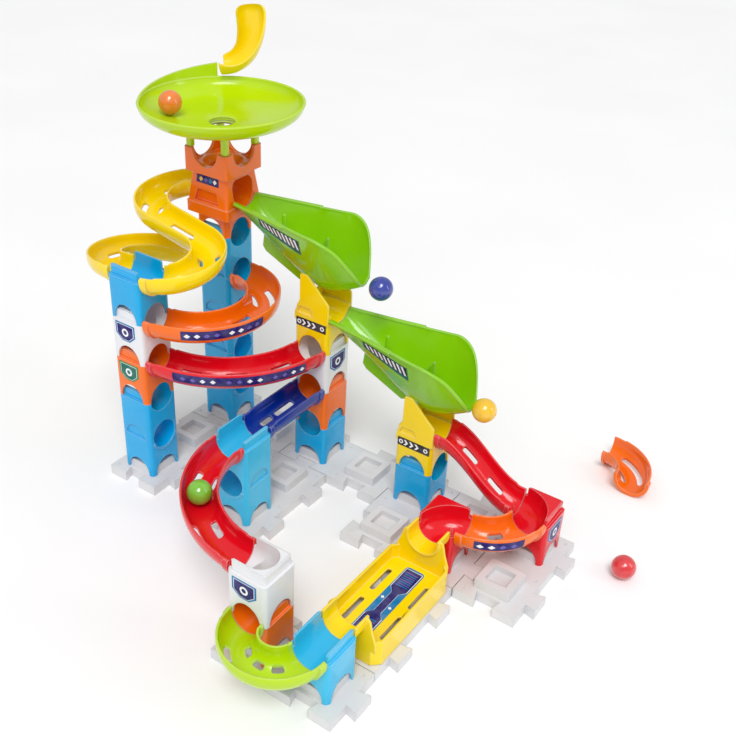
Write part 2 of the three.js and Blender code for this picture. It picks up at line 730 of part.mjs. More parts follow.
const TRACKS = [
  ['double_bend_track', doubleBend, falling(levelLine(6), levelLine(5)), 22,
    [[0.1, 0.16], [0.24, 0.3], [0.42, 0.54], [0.67, 0.73], [0.82, 0.88]], COLOURS.yellow],
  ['back_curve_track', arcPlan(-HALF, PITCH, PITCH, 270, 90), falling(levelLine(5), levelLine(4)), 12,
    [[0.14, 0.3], [0.42, 0.58], [0.7, 0.86]], COLOURS.yellow],
  ['side_curve_track', arcPlan(HALF, PITCH, PITCH, 90, -90), level(levelLine(4)), 12,
    [[0.14, 0.3], [0.42, 0.58], [0.7, 0.86]], COLOURS.orange],
  ['long_curve_track', arcPlan(HALF, QUARTER, QUARTER, 270, 360), level(levelLine(3)), 7,
    [[0.12, 0.28], [0.42, 0.58], [0.72, 0.88]], COLOURS.red],
  ['straight_track', straightPlan(2 * PITCH, 2 * PITCH - HALF, 2 * PITCH, HALF), level(levelLine(2)), 2,
    [[0.2, 0.54], [0.6, 0.8]], COLOURS.navy],
  ['quarter_curve_track', arcPlan(4 * PITCH - HALF, -HALF, QUARTER, 180, 270), level(levelLine(2)), 7,
    [[0.2, 0.34], [0.62, 0.76]], COLOURS.red],
  ['u_turn_track', arcPlan(4.5 * PITCH, -2 * PITCH - HALF, PITCH / 2, 180, 360), level(levelLine(1)), 8,
    [[0.2, 0.34], [0.43, 0.57], [0.66, 0.8]], COLOURS.lime],
  ['short_curve_track', arcPlan(5 * PITCH + HALF, 2 * PITCH - HALF, PITCH - HALF, 360, 270),
    level(levelLine(1)), 4, [[0.36, 0.64]], COLOURS.orange],
  ['slope_track', straightPlan(4 * PITCH + HALF, 2 * PITCH, 6 * PITCH - HALF, 2 * PITCH),
    easing(levelLine(2), levelLine(1)), 8, [[0.22, 0.41], [0.57, 0.76]], COLOURS.red],
];
for (const [name, plan, heightAt, steps, slots, colour] of TRACKS) {
  place(name, track(new Route(plan, heightAt), steps, slots), colour, 0, 0, 0);
}

const trayMiddle = (-2 * PITCH + HALF + PITCH - HALF) / 2;
place('collecting_tray', tray(), COLOURS.yellow, 5 * PITCH, trayMiddle, TILE_HEIGHT);

const upperRamp = tippingRamp(BAND_HALF + 2 * GAP);
const lowerRamp = tippingRamp(HALF + 2 * GAP);
place('upper_tipping_ramp', upperRamp, COLOURS.green, 0, 2 * PITCH, levelLine(5));
place('lower_tipping_ramp', lowerRamp, COLOURS.green, 2 * PITCH, 2 * PITCH, levelLine(3));

// Spare curve lying beside the run.
const spareRadius = PITCH - HALF;
const [spareX, spareY] = [5.95 * PITCH, 4.32 * PITCH];
const spareHeight = PIPE + WALL + COLLAR - PIPE_CENTRE + GAP;
const spareRoute = new Route(arcPlan(spareX, spareY, spareRadius, 0, 90), level(spareHeight));
place('spare_curve_track', track(spareRoute, 4, [[0.2, 0.8]]), COLOURS.orange, 0, 0, 0);

function marble(name, colour, x, y, z) {
  const ball = solid(new THREE.IcosahedronGeometry(MARBLE_RADIUS, 2));
  return place(name, ball, colour, x, y, z, 0.12);
}
const trackFloor = PIPE_CENTRE - PIPE;
const rollAngle = THREE.MathUtils.degToRad(219);
marble('orange_marble', COLOURS.orange, -42, 2 * PITCH - 26, levelLine(5) + 126.5);
marble('blue_marble', COLOURS.blue, RAMP_TIP + 19, 2 * PITCH, levelLine(5) - 7);
marble('yellow_marble', COLOURS.gold, 2 * PITCH + RAMP_TIP + 13, 2 * PITCH, levelLine(3) - 4);
marble(
  'green_marble', COLOURS.lime,
  4 * PITCH - HALF + QUARTER * Math.cos(rollAngle), -HALF + QUARTER * Math.sin(rollAngle),
  levelLine(2) + trackFloor + MARBLE_RADIUS + FACET_RISE + GAP,
);
marble('red_marble', COLOURS.red, 7.3 * PITCH, 2.45 * PITCH, MARBLE_RADIUS);

// The origin goes to the middle of the footprint, on the floor.
run.updateMatrixWorld(true);
const extent = new THREE.Box3().setFromObject(run, true);
const centre = extent.getCenter(new THREE.Vector3());
run.position.set(-centre.x, -centre.y, -extent.min.z);

export default run;
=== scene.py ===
"""Looks of a toy marble run: moulded towers, half-pipe tracks, swirl funnel, tipping ramps and marbles.

Shapes are built in millimetres, each about its own piece's axis and base, and go to the place that
the frame gives, in metres.
"""
import json
import math

import bmesh
import bpy
from mathutils import Matrix, Vector


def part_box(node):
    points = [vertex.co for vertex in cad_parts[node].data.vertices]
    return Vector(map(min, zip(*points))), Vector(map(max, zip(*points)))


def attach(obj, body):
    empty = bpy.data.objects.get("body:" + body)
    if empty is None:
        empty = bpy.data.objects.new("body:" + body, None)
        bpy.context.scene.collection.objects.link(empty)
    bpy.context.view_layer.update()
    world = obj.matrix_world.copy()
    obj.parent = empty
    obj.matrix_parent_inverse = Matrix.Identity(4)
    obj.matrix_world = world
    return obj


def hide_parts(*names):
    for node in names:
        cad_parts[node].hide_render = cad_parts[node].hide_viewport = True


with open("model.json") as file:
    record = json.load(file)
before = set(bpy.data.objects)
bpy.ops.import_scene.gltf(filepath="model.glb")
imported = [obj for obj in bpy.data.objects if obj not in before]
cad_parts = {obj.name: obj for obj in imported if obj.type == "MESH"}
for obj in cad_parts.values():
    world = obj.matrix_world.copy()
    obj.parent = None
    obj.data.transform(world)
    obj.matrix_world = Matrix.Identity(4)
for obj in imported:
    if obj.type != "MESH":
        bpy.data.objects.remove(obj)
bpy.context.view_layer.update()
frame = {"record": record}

MM = 0.001

# Grid and blocks, in millimetres
PITCH = 62.5
LEVEL = 44.5
TILE_HEIGHT = 11
PLUG_HEIGHT = 9.5
WALL = 2.2
GAP = 0.3
HALF = 20
CORNER = 4.5
TOP_HEIGHT = 10
TOP_HALF = HALF - WALL - GAP
TOP_LIP = 1.1  # step round the outside of a block's inset top
SKIRT_HALF = HALF - WALL
SKIRT_HEIGHT = 17
ARCH_HALF = 14.5
ARCH_HEIGHT = 16.8
DROP_RADIUS = 13.5
DROP_DEPTH = 8
RECESS = 1.6
PLUG_HALF = SKIRT_HALF - GAP

# Half-pipes
PIPE = 15
PIPE_CENTRE = 1.5
TRACK_RIM = 5.5
END_RIM = 4.4  # the rim is lower near a track's ends
END_RIM_LENGTH = 9
COLLAR = 1.6
COLLAR_LENGTH = 5
SLOT_WIDTH = 5
SLOT_PLACE = 8.5  # a track's two rows of slots, from its middle line
SLOT_ROUND = 1.8  # length over which a slot's ends are rounded

# Head of the tall tower
BAND_HALF = 27
BAND_BOTTOM = 22
BAND_TOP = 33
HEAD_TOP = 64
HEAD_TOP_HALF = 22
TAPER_FOOT_HALF = 26.2
CROWN_HEIGHT = 24
CROWN_NOTCH = 16
FUNNEL_RADIUS = 80
FUNNEL_RIM = 130
FUNNEL_HOLE = 13
LEG_PLACE = 22
CHUTE_PIPE = 13
CHUTE_HEADING = 0.558
CHUTE_TILT = 1.75

# Marbles
MARBLE_RADIUS = 11.5
SEAM_HALF = 0.35  # half-width of the faint seam round a marble
SEAM_DEPTH = 0.006  # its depth, as a share of the radius

# Ramps, tray and tiles
RAMP_RIM = 39
FLANGE_END = 101  # the wide part of a ramp's rim stops here
TRAY_LENGTH = 3 * PITCH - 2 * HALF
TRAY_HALF = 30
TRAY_RIM = 27
TRAY_FLOOR = 12
TILE_GAP = 0.4
DOVETAIL_NECK = 8.8
DOVETAIL_HEAD = 11.3
DOVETAIL_REACH = 10

# Fineness of the meshes
ROUND_STEPS = 40  # steps round a full circle
CORNER_STEPS = 5
STATION = 3.2  # length of one step along a track
EDGE = 0.45  # radius of the moulded edges

# ---------------- mesh kit


def mesh_of(points, faces):
    """A mesh with its faces turned outwards."""
    mesh = bpy.data.meshes.new("shape")
    mesh.from_pydata([tuple(p) for p in points], [], faces)
    shape = bmesh.new()
    shape.from_mesh(mesh)
    bmesh.ops.recalc_face_normals(shape, faces=shape.faces)
    shape.to_mesh(mesh)
    shape.free()
    return mesh


def loft(rings, closed=False):
    """A body through rings of points: with flat ends, or closed from its last ring to its first."""
    count = len(rings[0])
    points = [p for ring in rings for p in ring]
    faces = []
    for n in range(len(rings) if closed else len(rings) - 1):
        low, high = n * count, (n + 1) % len(rings) * count
        for k in range(count):
            after = (k + 1) % count
            faces.append((low + k, low + after, high + after, high + k))
    if not closed:
        faces.append(tuple(range(count)))
        faces.append(tuple(range((len(rings) - 1) * count, len(rings) * count)))
    return mesh_of(points, faces)


def prism(outline, z0, z1):
    return loft([[(x, y, z) for x, y in outline] for z in (z0, z1)])


def passage(outline, axis, start, end):
    """An outline drawn across a passage (sideways, up), carried along x or y."""
    if axis == "x":
        return loft([[(t, side, up) for side, up in outline] for t in (start, end)])
    return loft([[(side, t, up) for side, up in outline] for t in (start, end)])


def arc(cx, cy, rx, ry, start, end, steps=ROUND_STEPS // 2):
    """Points on an ellipse from one angle to another, in degrees."""
    points = []
    for n in range(steps + 1):
        angle = math.radians(start + (end - start) * n / steps)
        points.append((cx + rx * math.cos(angle), cy + ry * math.sin(angle)))
    return points


def rounded_rectangle(half_x, half_y, radius, steps=CORNER_STEPS):
    outline = []
    for sx, sy, start in ((1, -1, -90), (1, 1, 0), (-1, 1, 90), (-1, -1, 180)):
        centre = (sx * (half_x - radius), sy * (half_y - radius))
        outline += arc(*centre, radius, radius, start, start + 90, steps)
    return outline


def rounded_square(half, radius):
    return rounded_rectangle(half, half, radius)


def arch_outline(half_width, height, base=0):
    return [(half_width, base - 1)] + arc(0, base, half_width, height, 0, 180) + [(-half_width, base - 1)]


def channel_outline(radius, centre, top):
    return [(-radius, top)] + arc(0, centre, radius, radius, 180, 360) + [(radius, top)]


def circle(radius, x=0, y=0):
    return arc(x, y, radius, radius, 0, 360 - 360 / ROUND_STEPS, ROUND_STEPS - 1)


def turned(profile, steps):
    """A body turned about the z axis from a closed (radius, height) profile away from the axis."""
    rings = []
    for n in range(steps):
        angle = 2 * math.pi * n / steps
        rings.append([(r * math.cos(angle), r * math.sin(angle), z) for r, z in profile])
    return loft(rings, closed=True)


def spindle(profile):
    """A solid of revolution from (radius, height) points, with flat ends."""
    return loft([[(x, y, z) for x, y in circle(radius)] for radius, z in profile])


def added(name, data):
    """A new object in the scene."""
    item = bpy.data.objects.new(name, data)
    bpy.context.scene.collection.objects.link(item)
    return item


def combine(first, others, operation):
    """A mesh with other meshes joined to it or cut out of it."""
    body = added("body", first)
    tools = []
    for other in others:
        tool = added("tool", other)
        modifier = body.modifiers.new("step", "BOOLEAN")
        modifier.object = tool
        modifier.operation = operation
        modifier.solver = "MANIFOLD"
        tools.append(tool)
    bpy.context.view_layer.update()
    depsgraph = bpy.context.evaluated_depsgraph_get()
    result = bpy.data.meshes.new_from_object(body.evaluated_get(depsgraph))
    for item in (body, *tools):
        bpy.data.objects.remove(item)
    return result


def joined(first, *others):
    return combine(first, others, "UNION")


def carved(first, *others):
    return combine(first, others, "DIFFERENCE")


def moved(mesh, x=0, y=0, z=0):
    mesh.transform(Matrix.Translation((x, y, z)))
    return mesh


# ---------------- materials


def linear(hex_colour):
    """Linear colour of a hexadecimal sRGB one."""
    values = []
    for shift in (16, 8, 0):
        value = ((hex_colour >> shift) & 255) / 255
        values.append(value / 12.92 if value <= 0.04045 else ((value + 0.055) / 1.055) ** 2.4)
    return (*values, 1)


def shaded(colour, amount):
    """The colour made lighter (amount above 0) or darker (below 0)."""
    target = 1 if amount > 0 else 0
    return (*[c + (target - c) * abs(amount) for c in colour[:3]], 1)


class Nodes:
    """A small helper that adds nodes to a material and links them."""

    def __init__(self, name):
        self.material = bpy.data.materials.new(name)
        self.material.use_nodes = True
        self.tree = self.material.node_tree
        self.shader = self.tree.nodes["Principled BSDF"]

    def add(self, kind, **settings):
        node = self.tree.nodes.new(kind)
        for key, value in settings.items():
            setattr(node, key, value)
        return node

    def link(self, source, target):
        self.tree.links.new(source, target)

    def noise(self, coordinates, scale, detail=3.0, roughness=0.5):
        node = self.add("ShaderNodeTexNoise")
        node.inputs["Scale"].default_value = scale
        node.inputs["Detail"].default_value = detail
        node.inputs["Roughness"].default_value = roughness
        self.link(coordinates, node.inputs["Vector"])
        return node.outputs["Fac"]

    def ramp(self, value, stops):
        node = self.add("ShaderNodeValToRGB")
        elements = node.color_ramp.elements
        elements[0].position, elements[0].color = stops[0]
        elements[1].position, elements[1].color = stops[-1]
        for position, colour in stops[1:-1]:
            element = elements.new(position)
            element.color = colour
        self.link(value, node.inputs["Fac"])
        return node.outputs["Color"]

    def bump(self, height, strength, distance, normal=None):
        node = self.add("ShaderNodeBump")
        node.inputs["Strength"].default_value = strength
        node.inputs["Distance"].default_value = distance * MM
        self.link(height, node.inputs["Height"])
        if normal:
            self.link(normal, node.inputs["Normal"])
        return node.outputs["Normal"]

    def finish(self, **values):
        """Constants on the shader's own sockets, written with _ for a space."""
        for key, value in values.items():
            self.shader.inputs[key.replace("_", " ")].default_value = value
        return self.material

    def mapped(self, value, low, high, from_low=0.3, from_high=0.7):
        node = self.add("ShaderNodeMapRange")
        node.inputs["From Min"].default_value = from_low
        node.inputs["From Max"].default_value = from_high
        node.inputs["To Min"].default_value = low
        node.inputs["To Max"].default_value = high
        self.link(value, node.inputs["Value"])
        return node.outputs["Result"]


def edge_mask(nodes, radius):
    """1 on sharp edges and 0 on open surfaces, which places the painted edge highlight; the softened bevel
    normal comes back as well.
    """
    bevel = nodes.add("ShaderNodeBevel", samples=4)
    bevel.inputs["Radius"].default_value = radius
    geometry = nodes.add("ShaderNodeNewGeometry")
    dot = nodes.add("ShaderNodeVectorMath", operation="DOT_PRODUCT")
    nodes.link(bevel.outputs["Normal"], dot.inputs[0])
    nodes.link(geometry.outputs["Normal"], dot.inputs[1])
    return nodes.mapped(dot.outputs["Value"], 1.0, 0.0, 0.8, 0.985), bevel.outputs["Normal"]


def moulded_plastic(name, colour, roughness=0.17, coat=0.3, painted_edge_highlight=0.65, edge_radius=1.3 * MM):
    """Injection-moulded ABS: faint flow marks, a fine texture, handling scratches and edges painted paler as
    a painted highlight.
    """
    nodes = Nodes(name)
    place = nodes.add("ShaderNodeTexCoord").outputs["Object"]
    flow = nodes.noise(place, 22, detail=2)
    body = nodes.ramp(flow, [(0.3, shaded(colour, -0.05)), (0.55, colour), (0.75, shaded(colour, 0.02))])
    edges, soft_normal = edge_mask(nodes, edge_radius)
    # Painted highlight: a paler copy of the colour is mixed onto rims and edges, standing in for the light
    # line along them.
    mix = nodes.add("ShaderNodeMix", data_type="RGBA")
    nodes.link(nodes.mapped(edges, 0.0, painted_edge_highlight, 0.0, 1.0), mix.inputs["Factor"])
    nodes.link(body, mix.inputs["A"])
    mix.inputs["B"].default_value = shaded(colour, 0.5)
    nodes.link(mix.outputs["Result"], nodes.shader.inputs["Base Color"])
    smudges = nodes.noise(place, 55, detail=4, roughness=0.6)
    nodes.link(nodes.mapped(smudges, roughness - 0.04, roughness + 0.06), nodes.shader.inputs["Roughness"])
    stretch = nodes.add("ShaderNodeMapping")
    stretch.inputs["Scale"].default_value = (1, 14, 3)
    stretch.inputs["Rotation"].default_value = (0.4, 0.3, 0.7)
    nodes.link(place, stretch.inputs["Vector"])
    scratches = nodes.noise(stretch.outputs["Vector"], 120, detail=6, roughness=0.7)
    grain = nodes.noise(place, 1800, detail=1)
    fine = nodes.bump(grain, 0.03, 0.05, soft_normal)
    nodes.link(nodes.bump(scratches, 0.025, 0.2, fine), nodes.shader.inputs["Normal"])
    return nodes.finish(Coat_Weight=coat, Coat_Roughness=0.08, IOR=1.46, Specular_IOR_Level=0.4)


def printed_film(name, colour, speckle=0.06):
    """Printed sticker, with a faint print grain and slight colour drift."""
    nodes = Nodes(name)
    place = nodes.add("ShaderNodeTexCoord").outputs["Object"]
    drift = nodes.noise(place, 90, detail=3)
    tint = nodes.ramp(drift, [(0.35, shaded(colour, -speckle)), (0.65, shaded(colour, speckle))])
    nodes.link(tint, nodes.shader.inputs["Base Color"])
    grain = nodes.noise(place, 900, detail=2)
    nodes.link(nodes.mapped(grain, 0.25, 0.4), nodes.shader.inputs["Roughness"])
    nodes.link(nodes.bump(drift, 0.04, 0.05), nodes.shader.inputs["Normal"])
    return nodes.finish(Specular_IOR_Level=0.12)


def ball_plastic(name, colour):
    """Opaque polished ball with soft swirls in its colour and a few fine scuffs."""
    nodes = Nodes(name)
    place = nodes.add("ShaderNodeTexCoord").outputs["Object"]
    swirl = nodes.add("ShaderNodeTexNoise")
    swirl.inputs["Scale"].default_value = 60
    swirl.inputs["Detail"].default_value = 2
    swirl.inputs["Distortion"].default_value = 1.5
    nodes.link(place, swirl.inputs["Vector"])
    body = nodes.ramp(swirl.outputs["Fac"], [(0.3, shaded(colour, -0.1)), (0.7, shaded(colour, 0.05))])
    nodes.link(body, nodes.shader.inputs["Base Color"])
    scuffs = nodes.noise(place, 420, detail=5, roughness=0.65)
    nodes.link(nodes.mapped(scuffs, 0.1, 0.22), nodes.shader.inputs["Roughness"])
    nodes.link(nodes.bump(scuffs, 0.03, 0.05), nodes.shader.inputs["Normal"])
    return nodes.finish(Coat_Weight=0.8, Coat_Roughness=0.03)


MOULDED = {
    "sky": 0x00A8E4, "pale_blue": 0x30BCEA, "orange": 0xF46E05, "yellow": 0xFBDA00,
    "red": 0xE00A1E, "navy": 0x06309C, "green": 0x8ACA08, "lime": 0xB8DA08,
}
BALLS = {
    "orange": 0xF07C1C, "blue": 0x0D2C96, "yellow": 0xF2BF12,
    "green": 0x74BC1E, "red": 0xD81420,
}
PRINTED = {
    "navy": 0x241B6B, "blue": 0x1178B5, "teal": 0x0C6B5C, "green": 0x1F8A4C,
    "violet": 0x6B5FB5, "black": 0x141620, "amber": 0xE9C64A,
}
PLASTICS = {slot: moulded_plastic(f"plastic_{slot}", linear(colour)) for slot, colour in MOULDED.items()}
# The white plastics get a weaker painted edge highlight.
PLASTICS |= {
    "white": moulded_plastic("plastic_white", linear(0xE6E7EA), painted_edge_highlight=0.3),
    "tile_white": moulded_plastic("plastic_tile_white", linear(0xDADADC), 0.32, coat=0.1, painted_edge_highlight=0.4),
}
PLASTICS |= {f"marble_{name}": ball_plastic(f"ball_{name}", linear(colour)) for name, colour in BALLS.items()}
FILMS = {name: printed_film(f"film_{name}", linear(colour)) for name, colour in PRINTED.items()}
FILMS["white"] = printed_film("film_white", linear(0xF4F5F8), 0.03)

# ---------------- placing


NODE_SLOTS = {s["node"]: s["material_slot"] for s in frame["record"]["subparts"]}
NODE_BODIES = {node: body for body, nodes in frame["record"]["behaviour"]["bodies"].items() for node in nodes}


def base_of(node):
    """Middle of the foot of a CAD node, in millimetres."""
    low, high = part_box(node)
    return Vector(((low.x + high.x) / 2, (low.y + high.y) / 2, low.z)) / MM


GRID_ORIGIN = Vector((*base_of("left_double_block")[:2], 0))


def at_grid(column, row, height=0):
    return GRID_ORIGIN + Vector((column * PITCH, row * PITCH, height))


def clean_edges(mesh):
    """Merge stray points and split the many-sided faces, which may have holes in them."""
    shape = bmesh.new()
    shape.from_mesh(mesh)
    bmesh.ops.remove_doubles(shape, verts=shape.verts, dist=0.02)
    bmesh.ops.triangulate(shape, faces=[face for face in shape.faces if len(face.verts) > 4])
    shape.to_mesh(mesh)
    shape.free()


def shown(name, mesh, origin, material, bevel=EDGE, smooth_angle=35):
    """An object in the frame, from a mesh in millimetres about origin."""
    mesh.transform(Matrix.Scale(MM, 4) @ Matrix.Translation(origin))
    mesh.name = name
    mesh.materials.clear()
    mesh.materials.append(material)
    item = added(name, mesh)
    mesh.shade_smooth()
    if bevel:
        rounding = item.modifiers.new("edges", "BEVEL")
        rounding.width = bevel * MM
        rounding.segments = 2
        rounding.limit_method = "ANGLE"
        rounding.angle_limit = math.radians(smooth_angle)
    mesh.set_sharp_from_angle(angle=math.radians(smooth_angle))
    return item


def standing_for(node, item):
    """The item joins a CAD node's body, and the node is hidden."""
    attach(item, NODE_BODIES[node])
    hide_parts(node)


def moulding(node, mesh, origin, bevel=EDGE):
    """The visible piece that stands for a CAD node, in the node's own plastic."""
    clean_edges(mesh)
    standing_for(node, shown(f"{node}_moulding", mesh, origin, PLASTICS[NODE_SLOTS[node]], bevel))


def film(name, mesh, origin, colour, body="root"):
    """A thin printed sticker."""
    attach(shown(name, mesh, origin, FILMS[colour], bevel=0), body)


# ---------------- tower blocks


def foot_cutters():
    arch = arch_outline(ARCH_HALF, ARCH_HEIGHT)
    return [
        prism(rounded_square(SKIRT_HALF, CORNER - WALL), -1, SKIRT_HEIGHT),
        passage(arch, "x", -HALF - 1, HALF + 1),
        passage(arch, "y", -HALF - 1, HALF + 1),
    ]


def block_body(height):
    """Rounded column with an inset top in two small steps."""
    body = prism(rounded_square(HALF, CORNER), 0, height)
    top = prism(rounded_square(TOP_HALF, CORNER - WALL), height - 1, height + TOP_HEIGHT - TOP_LIP)
    lip_outline = rounded_square(TOP_HALF - TOP_LIP, CORNER - WALL)
    lip = prism(lip_outline, height + 1, height + TOP_HEIGHT)
    return joined(body, top, lip)


def top_channel(height):
    return channel_outline(PIPE, height + PIPE_CENTRE, height + TOP_HEIGHT + 1)


def exit_cutter(direction, height):
    sign, axis = direction
    start, end = (0, HALF + 1) if sign == "+" else (-HALF - 1, 0)
    return passage(top_channel(height), axis, start, end)


def pocket_cutter(height):
    """Round-bottomed end of a half-channel."""
    centre = height + PIPE_CENTRE
    profile = arc(0, centre, PIPE, PIPE, -85, 0, 17)
    return spindle(profile + [(PIPE, height + TOP_HEIGHT + 1)])


def tunnel_lip(axis, side, level):
    """Low half-round collar under a tunnel's mouth, where a track's end would rest."""
    ring = arc(0, 0, PIPE + 2.6, PIPE + 2.6, 200, 340) + arc(0, 0, PIPE + 0.1, PIPE + 0.1, 340, 200)
    outline = [(across, LEVEL * level + PIPE_CENTRE + up) for across, up in ring]
    start, end = (HALF - 1, HALF + 1.1) if side > 0 else (-HALF - 1.1, -HALF + 1)
    return passage(outline, axis, start, end)


def side_recess(sideways, side, level):
    """Blind arch with a sloping sill, half-way up a double block."""
    sill = arch_outline(ARCH_HALF - 1, ARCH_HEIGHT - 4, LEVEL * level + 0.5)
    start, end = (HALF - RECESS, HALF + 1) if side > 0 else (-HALF - 1, -HALF + RECESS)
    return passage(sill, sideways, start, end)


def channel_block(axis, levels=1, lips=()):
    """Block with a channel across its top; a double one has a tunnel half-way up as well."""
    height = LEVEL * levels
    sideways = "y" if axis == "x" else "x"
    body = block_body(height)
    if lips:
        body = joined(body, *[tunnel_lip(axis, side, level) for side, level in lips])
    cutters = foot_cutters() + [passage(top_channel(height), axis, -HALF - 2, HALF + 2)]
    for level in range(1, levels):
        bore = circle(PIPE, 0, LEVEL * level + PIPE_CENTRE)
        cutters.append(passage(bore, axis, -HALF - 2, HALF + 2))
        cutters += [side_recess(sideways, side, level) for side in (-1, 1)]
    return carved(body, *cutters)


def drop_block(direction):
    """Block that takes a marble in through one face and drops it through its floor."""
    bowl = spindle([
        (DROP_RADIUS, SKIRT_HEIGHT - 1), (DROP_RADIUS, LEVEL - DROP_DEPTH - 2),
        (DROP_RADIUS + 0.6, LEVEL - DROP_DEPTH), (PIPE - 0.3, LEVEL - 3),
        (PIPE, LEVEL + PIPE_CENTRE), (PIPE, LEVEL + TOP_HEIGHT + 1),
    ])
    return carved(block_body(LEVEL), *foot_cutters(), exit_cutter(direction, LEVEL), bowl)


def turn_block(direction):
    """Block that catches a dropped marble and turns it out through one face."""
    return carved(block_body(LEVEL), *foot_cutters(), exit_cutter(direction, LEVEL), pocket_cutter(LEVEL))


def curve_block(corner_x, corner_y):
    """Block whose channel bends a quarter turn about one corner of its top."""
    middle = math.atan2(-corner_y, -corner_x)
    rings = []
    for n in range(17):
        angle = middle + math.radians(-60 + 120 * n / 16)
        outwards = Vector((math.cos(angle), math.sin(angle), 0))
        axis = Vector((corner_x * HALF, corner_y * HALF, 0)) + outwards * HALF
        ring = []
        for across, up in top_channel(LEVEL):
            ring.append(axis + outwards * across + Vector((0, 0, up)))
        rings.append(ring)
    return carved(block_body(LEVEL), *foot_cutters(), loft(rings))


def catcher_block():
    """Turn block with a back wall and two tall cheeks that guide a falling marble in."""
    cheek = [(-HALF, 30), (-HALF, 38), (-15.6, 49.5), (-14.2, 53), (-14, 79.5), (-13, 81), (-7, 81),
             (-5.4, 80.3), (HALF - 0.6, 56), (HALF, 54), (HALF, 34)]
    dip = arc(0, 58, 14, 6, 180, 360)
    back = [(-TOP_HALF, 40), (-TOP_HALF, 58), *dip, (TOP_HALF, 58), (TOP_HALF, 40)]
    niche = [(-17, 38.5), (-14.5, 45.5), (-1, 45.5), (1.5, 38.5)]
    walls = [passage(cheek, "y", *span) for span in ((-HALF, -HALF + WALL), (HALF - WALL, HALF))]
    base = prism(rounded_square(HALF, CORNER), 0, LEVEL)
    body = joined(base, passage(back, "x", -15.5, -15.5 + WALL), *walls)
    mouth = passage(channel_outline(PIPE, LEVEL + PIPE_CENTRE, LEVEL + 40), "x", 0, HALF + 4)
    shelf = passage(niche, "y", -HALF - 1, -HALF + 1.2)
    return carved(body, *foot_cutters(), mouth, shelf, pocket_cutter(LEVEL))


# ---------------- head of the tall tower


def splitter():
    """Foot, wide band and tapered body, with a half-pipe that lets marbles out on both sides."""
    centre = LEVEL + PIPE_CENTRE
    foot = prism(rounded_square(HALF, CORNER), 0, BAND_BOTTOM + 1)
    band = prism(rounded_square(BAND_HALF, 3), BAND_BOTTOM, BAND_TOP)
    steps = ((BAND_TOP - 2, TAPER_FOOT_HALF), (HEAD_TOP, HEAD_TOP_HALF))
    taper = loft([[(x, y, z) for x, y in rounded_square(half, 3.4)] for z, half in steps])
    window = arc(0, centre, PIPE, PIPE, 180, 360)
    window += [(PIPE, LEVEL + 9), (12.6, LEVEL + 13), (9, LEVEL + 15), (-9, LEVEL + 15), (-12.6, LEVEL + 13)]
    window += [(-PIPE, LEVEL + 9)]
    niche = [(-17, 35), (-13.5, 47), (11, 47), (14.5, 35)]
    floor = BAND_HALF - 6.5
    return carved(
        joined(foot, band, taper),
        *foot_cutters(),
        passage(window, "x", -BAND_HALF - 1, BAND_HALF + 1),
        prism(circle(DROP_RADIUS), LEVEL, HEAD_TOP + 1),
        passage(niche, "y", -BAND_HALF - 1, -floor),
        passage(niche, "y", floor, BAND_HALF + 1),
    )


def crown():
    """Square frame with a U-shaped notch in each wall and a shallow bowl for its floor."""
    inner = BAND_HALF - WALL - 1
    notch = channel_outline(CROWN_NOTCH, CROWN_HEIGHT, CROWN_HEIGHT + 1)
    bowl = spindle([(DROP_RADIUS, -1), (DROP_RADIUS, 3), (DROP_RADIUS + 1.5, 4.4), (inner - 4, 7.5),
                    (inner - 1, CROWN_HEIGHT + 1)])
    frame_cut = prism(rounded_square(inner, 2), 8.2, CROWN_HEIGHT + 1)
    return carved(
        prism(rounded_square(BAND_HALF, 3), 0, CROWN_HEIGHT), bowl, frame_cut,
        passage(notch, "x", -BAND_HALF - 1, BAND_HALF + 1),
        passage(notch, "y", -BAND_HALF - 1, BAND_HALF + 1),
    )


def smooth_line(points, steps):
    """Points on a smooth curve through the given ones, which may have any number of values."""
    line = []
    last = len(points) - 1
    for n in range(last):
        before, a, b, after = (Vector(points[min(max(i, 0), last)]) for i in (n - 1, n, n + 1, n + 2))
        for k in range(steps):
            t = k / steps
            line.append(0.5 * (2 * a + (b - before) * t + (2 * before - 5 * a + 4 * b - after) * t ** 2
                               + (3 * a - before - 3 * b + after) * t ** 3))
    line.append(Vector(points[-1]))
    return line


def curved_plate(stations, across, corner_at):
    """A bent plate: corner_at(station, k, side) gives its points, side 0 inside and 1 outside."""
    rings = []
    for station in range(stations):
        ring = [corner_at(station, k, 0) for k in range(across + 1)]
        ring += [corner_at(station, k, 1) for k in range(across, -1, -1)]
        rings.append(ring)
    return loft(rings)


def funnel():
    """Shallow dish with a centre hole, a rolled rim, a rising entry wall and four legs."""
    lower = [(FUNNEL_HOLE, 104), (16.5, 108.4), (53, 111.8), (68, 115.5), (77, 122.5),
             (FUNNEL_RADIUS, FUNNEL_RIM)]
    upper = [(77.5, FUNNEL_RIM), (74.5, 124), (66, 118.5), (52, 114.5), (16, 111.3), (FUNNEL_HOLE, 109.6)]
    profile = smooth_line(lower, 4)[:-1] + [Vector(p) for p in arc(78.6, FUNNEL_RIM, 1.5, 1.2, -20, 200, 6)]
    profile += smooth_line(upper, 4)[1:]
    dish = turned([(p.x, p.y) for p in profile], 3 * ROUND_STEPS)
    leg_bottom = HEAD_TOP + CROWN_HEIGHT
    legs = []
    for x in (-1, 1):
        for y in (-1, 1):
            outline = rounded_square(3, 0.8)
            widths = ((leg_bottom, 1), (104, 1), (108.5, 1.5), (110.5, 1.9))
            rings = []
            for z, width in widths:
                rings.append([(px * width, py * width, z) for px, py in outline])
            legs.append(moved(loft(rings), x * LEG_PLACE, y * LEG_PLACE))
    return joined(dish, *legs, entry_wall())


